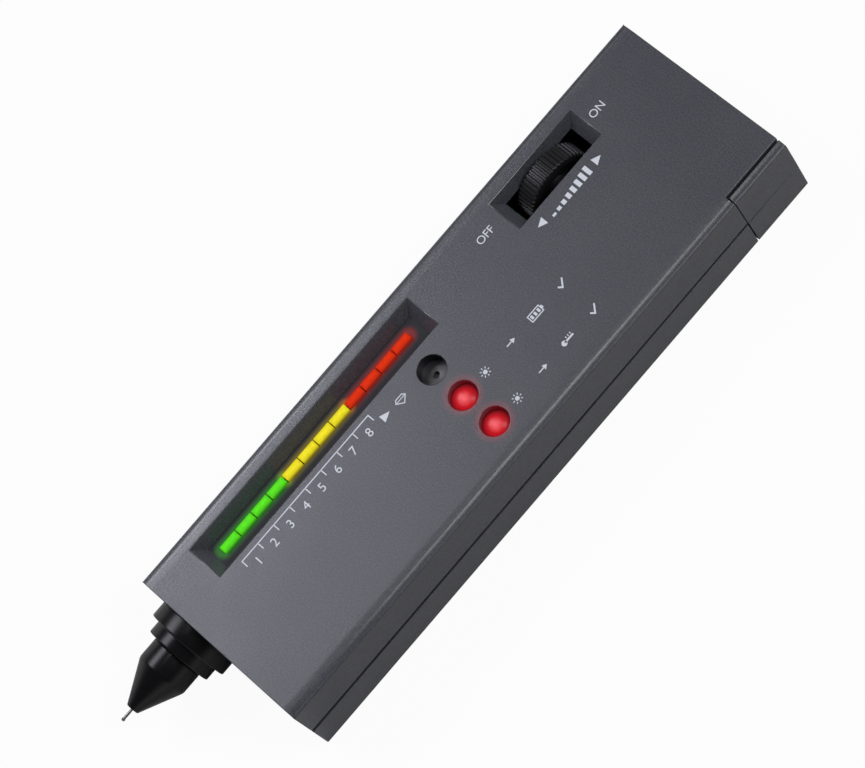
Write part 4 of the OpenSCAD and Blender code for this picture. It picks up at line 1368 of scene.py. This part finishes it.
    def level(self) -> list[Surface]:
        """Draw the level marks of the wheel: two end triangles and a row of bars that grow towards ON.

        Returns:
            The marks.
        """
        up, (length, half) = self.level_up, self.level_tip
        marks = []
        for tip, way in zip(self.level_ends, (length, -length)):
            marks.append(self.patch(((tip, up), (tip + way, up - half), (tip + way, up + half))))
        for index in range(self.bars):
            start, low = self.bar_start + self.bar_pitch * index, up - self.bar_drop
            high = low + self.bar_height + self.bar_growth * index
            marks.append(self.patch(block(start, low, start + self.bar_width, high)))
        return marks

    def signs(self) -> list[Surface]:
        """Set a row of pictograms beside each lamp and a plain stone at the end of the scale.

        Returns:
            All their strokes and shapes.
        """
        marks = []
        for start, row in self.sign_rows:
            for place, sign in enumerate(row):
                at = np.array(start) + (self.sign_pitch * place, 0.0)
                marks += [self.patch(at + outline) for outline in sign.value.patches]
                marks += [self.stroke(at + path, width) for width, path in sign.value.strokes]
                marks += [self.stroke(at + path, width, closed=True) for width, path in sign.value.loops]
        return marks


# Studio


@dataclass(frozen=True)
class SoftBox:
    """A soft light: its place, the point that it faces, its height and level width, its watts and its tint."""

    name: str
    at: Triple
    aim: Triple
    size: Pair
    watts: float
    tint: str = "#ffffff"

    def hang(self) -> None:
        """Hang the light and aim it."""
        data = bpy.data.lights.new(self.name, "AREA")
        data.color = linear(self.tint)[:3]
        data.shape, data.energy = "RECTANGLE", self.watts
        data.size_y, data.size = self.size[0] * MM, self.size[1] * MM
        light = bpy.data.objects.new(self.name, data)
        place = Vector(self.at) * MM
        facing = (Vector(self.aim) * MM - place).to_track_quat("-Z", "Y")
        light.matrix_world = Matrix.Translation(place) @ facing.to_matrix().to_4x4()
        bpy.context.scene.collection.objects.link(light)


@dataclass
class Studio:
    """The floor, the soft lights, the white surroundings and the camera."""

    camera_at: Triple = (312.765, -24.99, 678.9)
    camera_right: Triple = (0.6955, 0.6519, -0.3022)
    camera_up: Triple = (-0.5751, 0.7572, 0.3098)
    camera_back: Triple = (0.4308, -0.0417, 0.9015)
    camera_lens: float = 154.81
    camera_sensor: float = 36.0
    camera_clip: Pair = (0.01, 50.0)
    floor_half: float = 3000.0
    floor_z: float = -0.3
    floor_colour: str = "#c8c8c8"
    floor_lift: float = 0.95
    shadow_reach: Pair = (40.0, 100.0)
    shadow_fade: float = 120.0
    sky_colour: str = "#fdfdff"
    sky_light: Pair = (0.12, 0.1)
    sky_light_span: Pair = (-0.1, 0.8)
    sky_shown: Pair = (1.0, 0.12)
    sky_shown_span: Pair = (0.15, 0.4)
    lights: tuple[SoftBox, ...] = (
        SoftBox("key_box", (-326.0, -115.0, 450.0), (0.0, -40.0, 15.0), (200.0, 270.0), 1.75, "#f4f4ff"),
        SoftBox("top_strip", (-20.0, 60.0, 580.0), (5.0, 60.0, 15.0), (50.0, 200.0), 0.22),
        SoftBox("left_strip", (-470.0, 20.0, 420.0), (-21.0, 20.0, 20.0), (60.0, 320.0), 0.12),
        SoftBox("fill_box", (400.0, 400.0, 700.0), (0.0, 12.0, 15.0), (400.0, 400.0), 5.0),
    )

    def build(self) -> None:
        """Set up the camera, the floor, the world and the lights."""
        bpy.context.scene.view_settings.view_transform = "Standard"
        self.camera()
        self.floor()
        self.world()
        for light in self.lights:
            light.hang()

    def camera(self) -> None:
        """Place the camera by its three directions."""
        data = bpy.data.cameras.new("camera")
        data.lens, data.sensor_width = self.camera_lens, self.camera_sensor
        data.clip_start, data.clip_end = self.camera_clip
        camera = bpy.data.objects.new("camera", data)
        turn = Matrix((self.camera_right, self.camera_up, self.camera_back)).transposed()
        camera.matrix_world = Matrix.Translation(Vector(self.camera_at) * MM) @ turn.to_4x4()
        bpy.context.scene.collection.objects.link(camera)
        bpy.context.scene.camera = camera

    def clear_floor(self, tree: Tree) -> Socket:
        """Tell the open floor from the strip beside the object, where its shadow lies in mirrors too.

        Args:
            tree: The floor's tree.

        Returns:
            A value that rises from 0 beside the object to 1 on the open floor.
        """
        spot = add_node(tree, "TexCoord").outputs["Object"]
        rises = []
        for way, reach in zip("XY", self.shadow_reach):
            off = solve(tree, "ABSOLUTE", coordinate(tree, spot, way))
            rises.append(ranged(tree, off, (reach * MM, (reach + self.shadow_fade) * MM)))
        return solve(tree, "MAXIMUM", *rises)

    def floor(self) -> None:
        """Lay a pale floor that keeps the shadow and shows from above only.

        It is lifted towards white for the camera, and in mirrors and glass away from the object.
        """
        half, z = self.floor_half * MM, self.floor_z * MM
        mesh = bpy.data.meshes.new("floor")
        mesh.from_pydata([(x, y, z) for x, y in block(-half, -half, half, half)], [], [(0, 1, 2, 3)])
        floor = bpy.data.objects.new("floor", mesh)
        bpy.context.scene.collection.objects.link(floor)
        material = bpy.data.materials.new("paper_white_matt")
        tree = emptied(material)
        rays = add_node(tree, "LightPath").outputs
        mirrored = solve(tree, "MAXIMUM", rays["Is Glossy Ray"], rays["Is Transmission Ray"])
        mirrored = solve(tree, "MULTIPLY", mirrored, self.clear_floor(tree))
        shown = solve(tree, "MAXIMUM", rays["Is Camera Ray"], mirrored)
        lift = solve(tree, "MULTIPLY", shown, self.floor_lift)
        paper = add_node(tree, "BsdfDiffuse", {"Color": linear(self.floor_colour)}).outputs[0]
        white = add_node(tree, "Emission", {"Strength": 1.0}).outputs[0]
        top = add_node(tree, "MixShader", {0: lift, 1: paper, 2: white}).outputs[0]
        under = add_node(tree, "NewGeometry").outputs["Backfacing"]
        clear = add_node(tree, "BsdfTransparent").outputs[0]
        both = add_node(tree, "MixShader", {0: under, 1: top, 2: clear}).outputs[0]
        add_node(tree, "OutputMaterial", {"Surface": both})
        mesh.materials.append(material)

    def world(self) -> None:
        """Make the surroundings white to the camera, and in mirrors white at the horizon and dim overhead."""
        world = bpy.data.worlds.new("studio")
        tree = emptied(world)
        rise = coordinate(tree, add_node(tree, "TexCoord").outputs["Generated"], "Z")
        rays = add_node(tree, "LightPath").outputs
        mirrored = solve(tree, "MAXIMUM", rays["Is Glossy Ray"], rays["Is Transmission Ray"])
        light = ranged(tree, rise, self.sky_light_span, self.sky_light)
        shown = ranged(tree, rise, self.sky_shown_span, self.sky_shown)
        level = add_node(tree, "Mix", {"data_type": "FLOAT", 0: mirrored, 2: light, 3: shown}).outputs[0]
        camera = rays["Is Camera Ray"]
        level = add_node(tree, "Mix", {"data_type": "FLOAT", 0: camera, 2: level, 3: 1.0}).outputs[0]
        sky = add_node(tree, "Background", {"Color": linear(self.sky_colour), "Strength": level}).outputs[0]
        add_node(tree, "OutputWorld", {"Surface": sky})
        bpy.context.scene.world = world


def main() -> None:
    """Build the sub-assemblies in order."""
    logging.basicConfig(level=logging.INFO, format="%(message)s")
    for kind in (Studio, CaseShells, ProbeNose, LightBar, LampRow, VolumeWheel, BoardAndBattery, PrintedMarks):
        kind().build()
        log.info("built %s", kind.__name__)


if __name__ == "__main__":
    main()
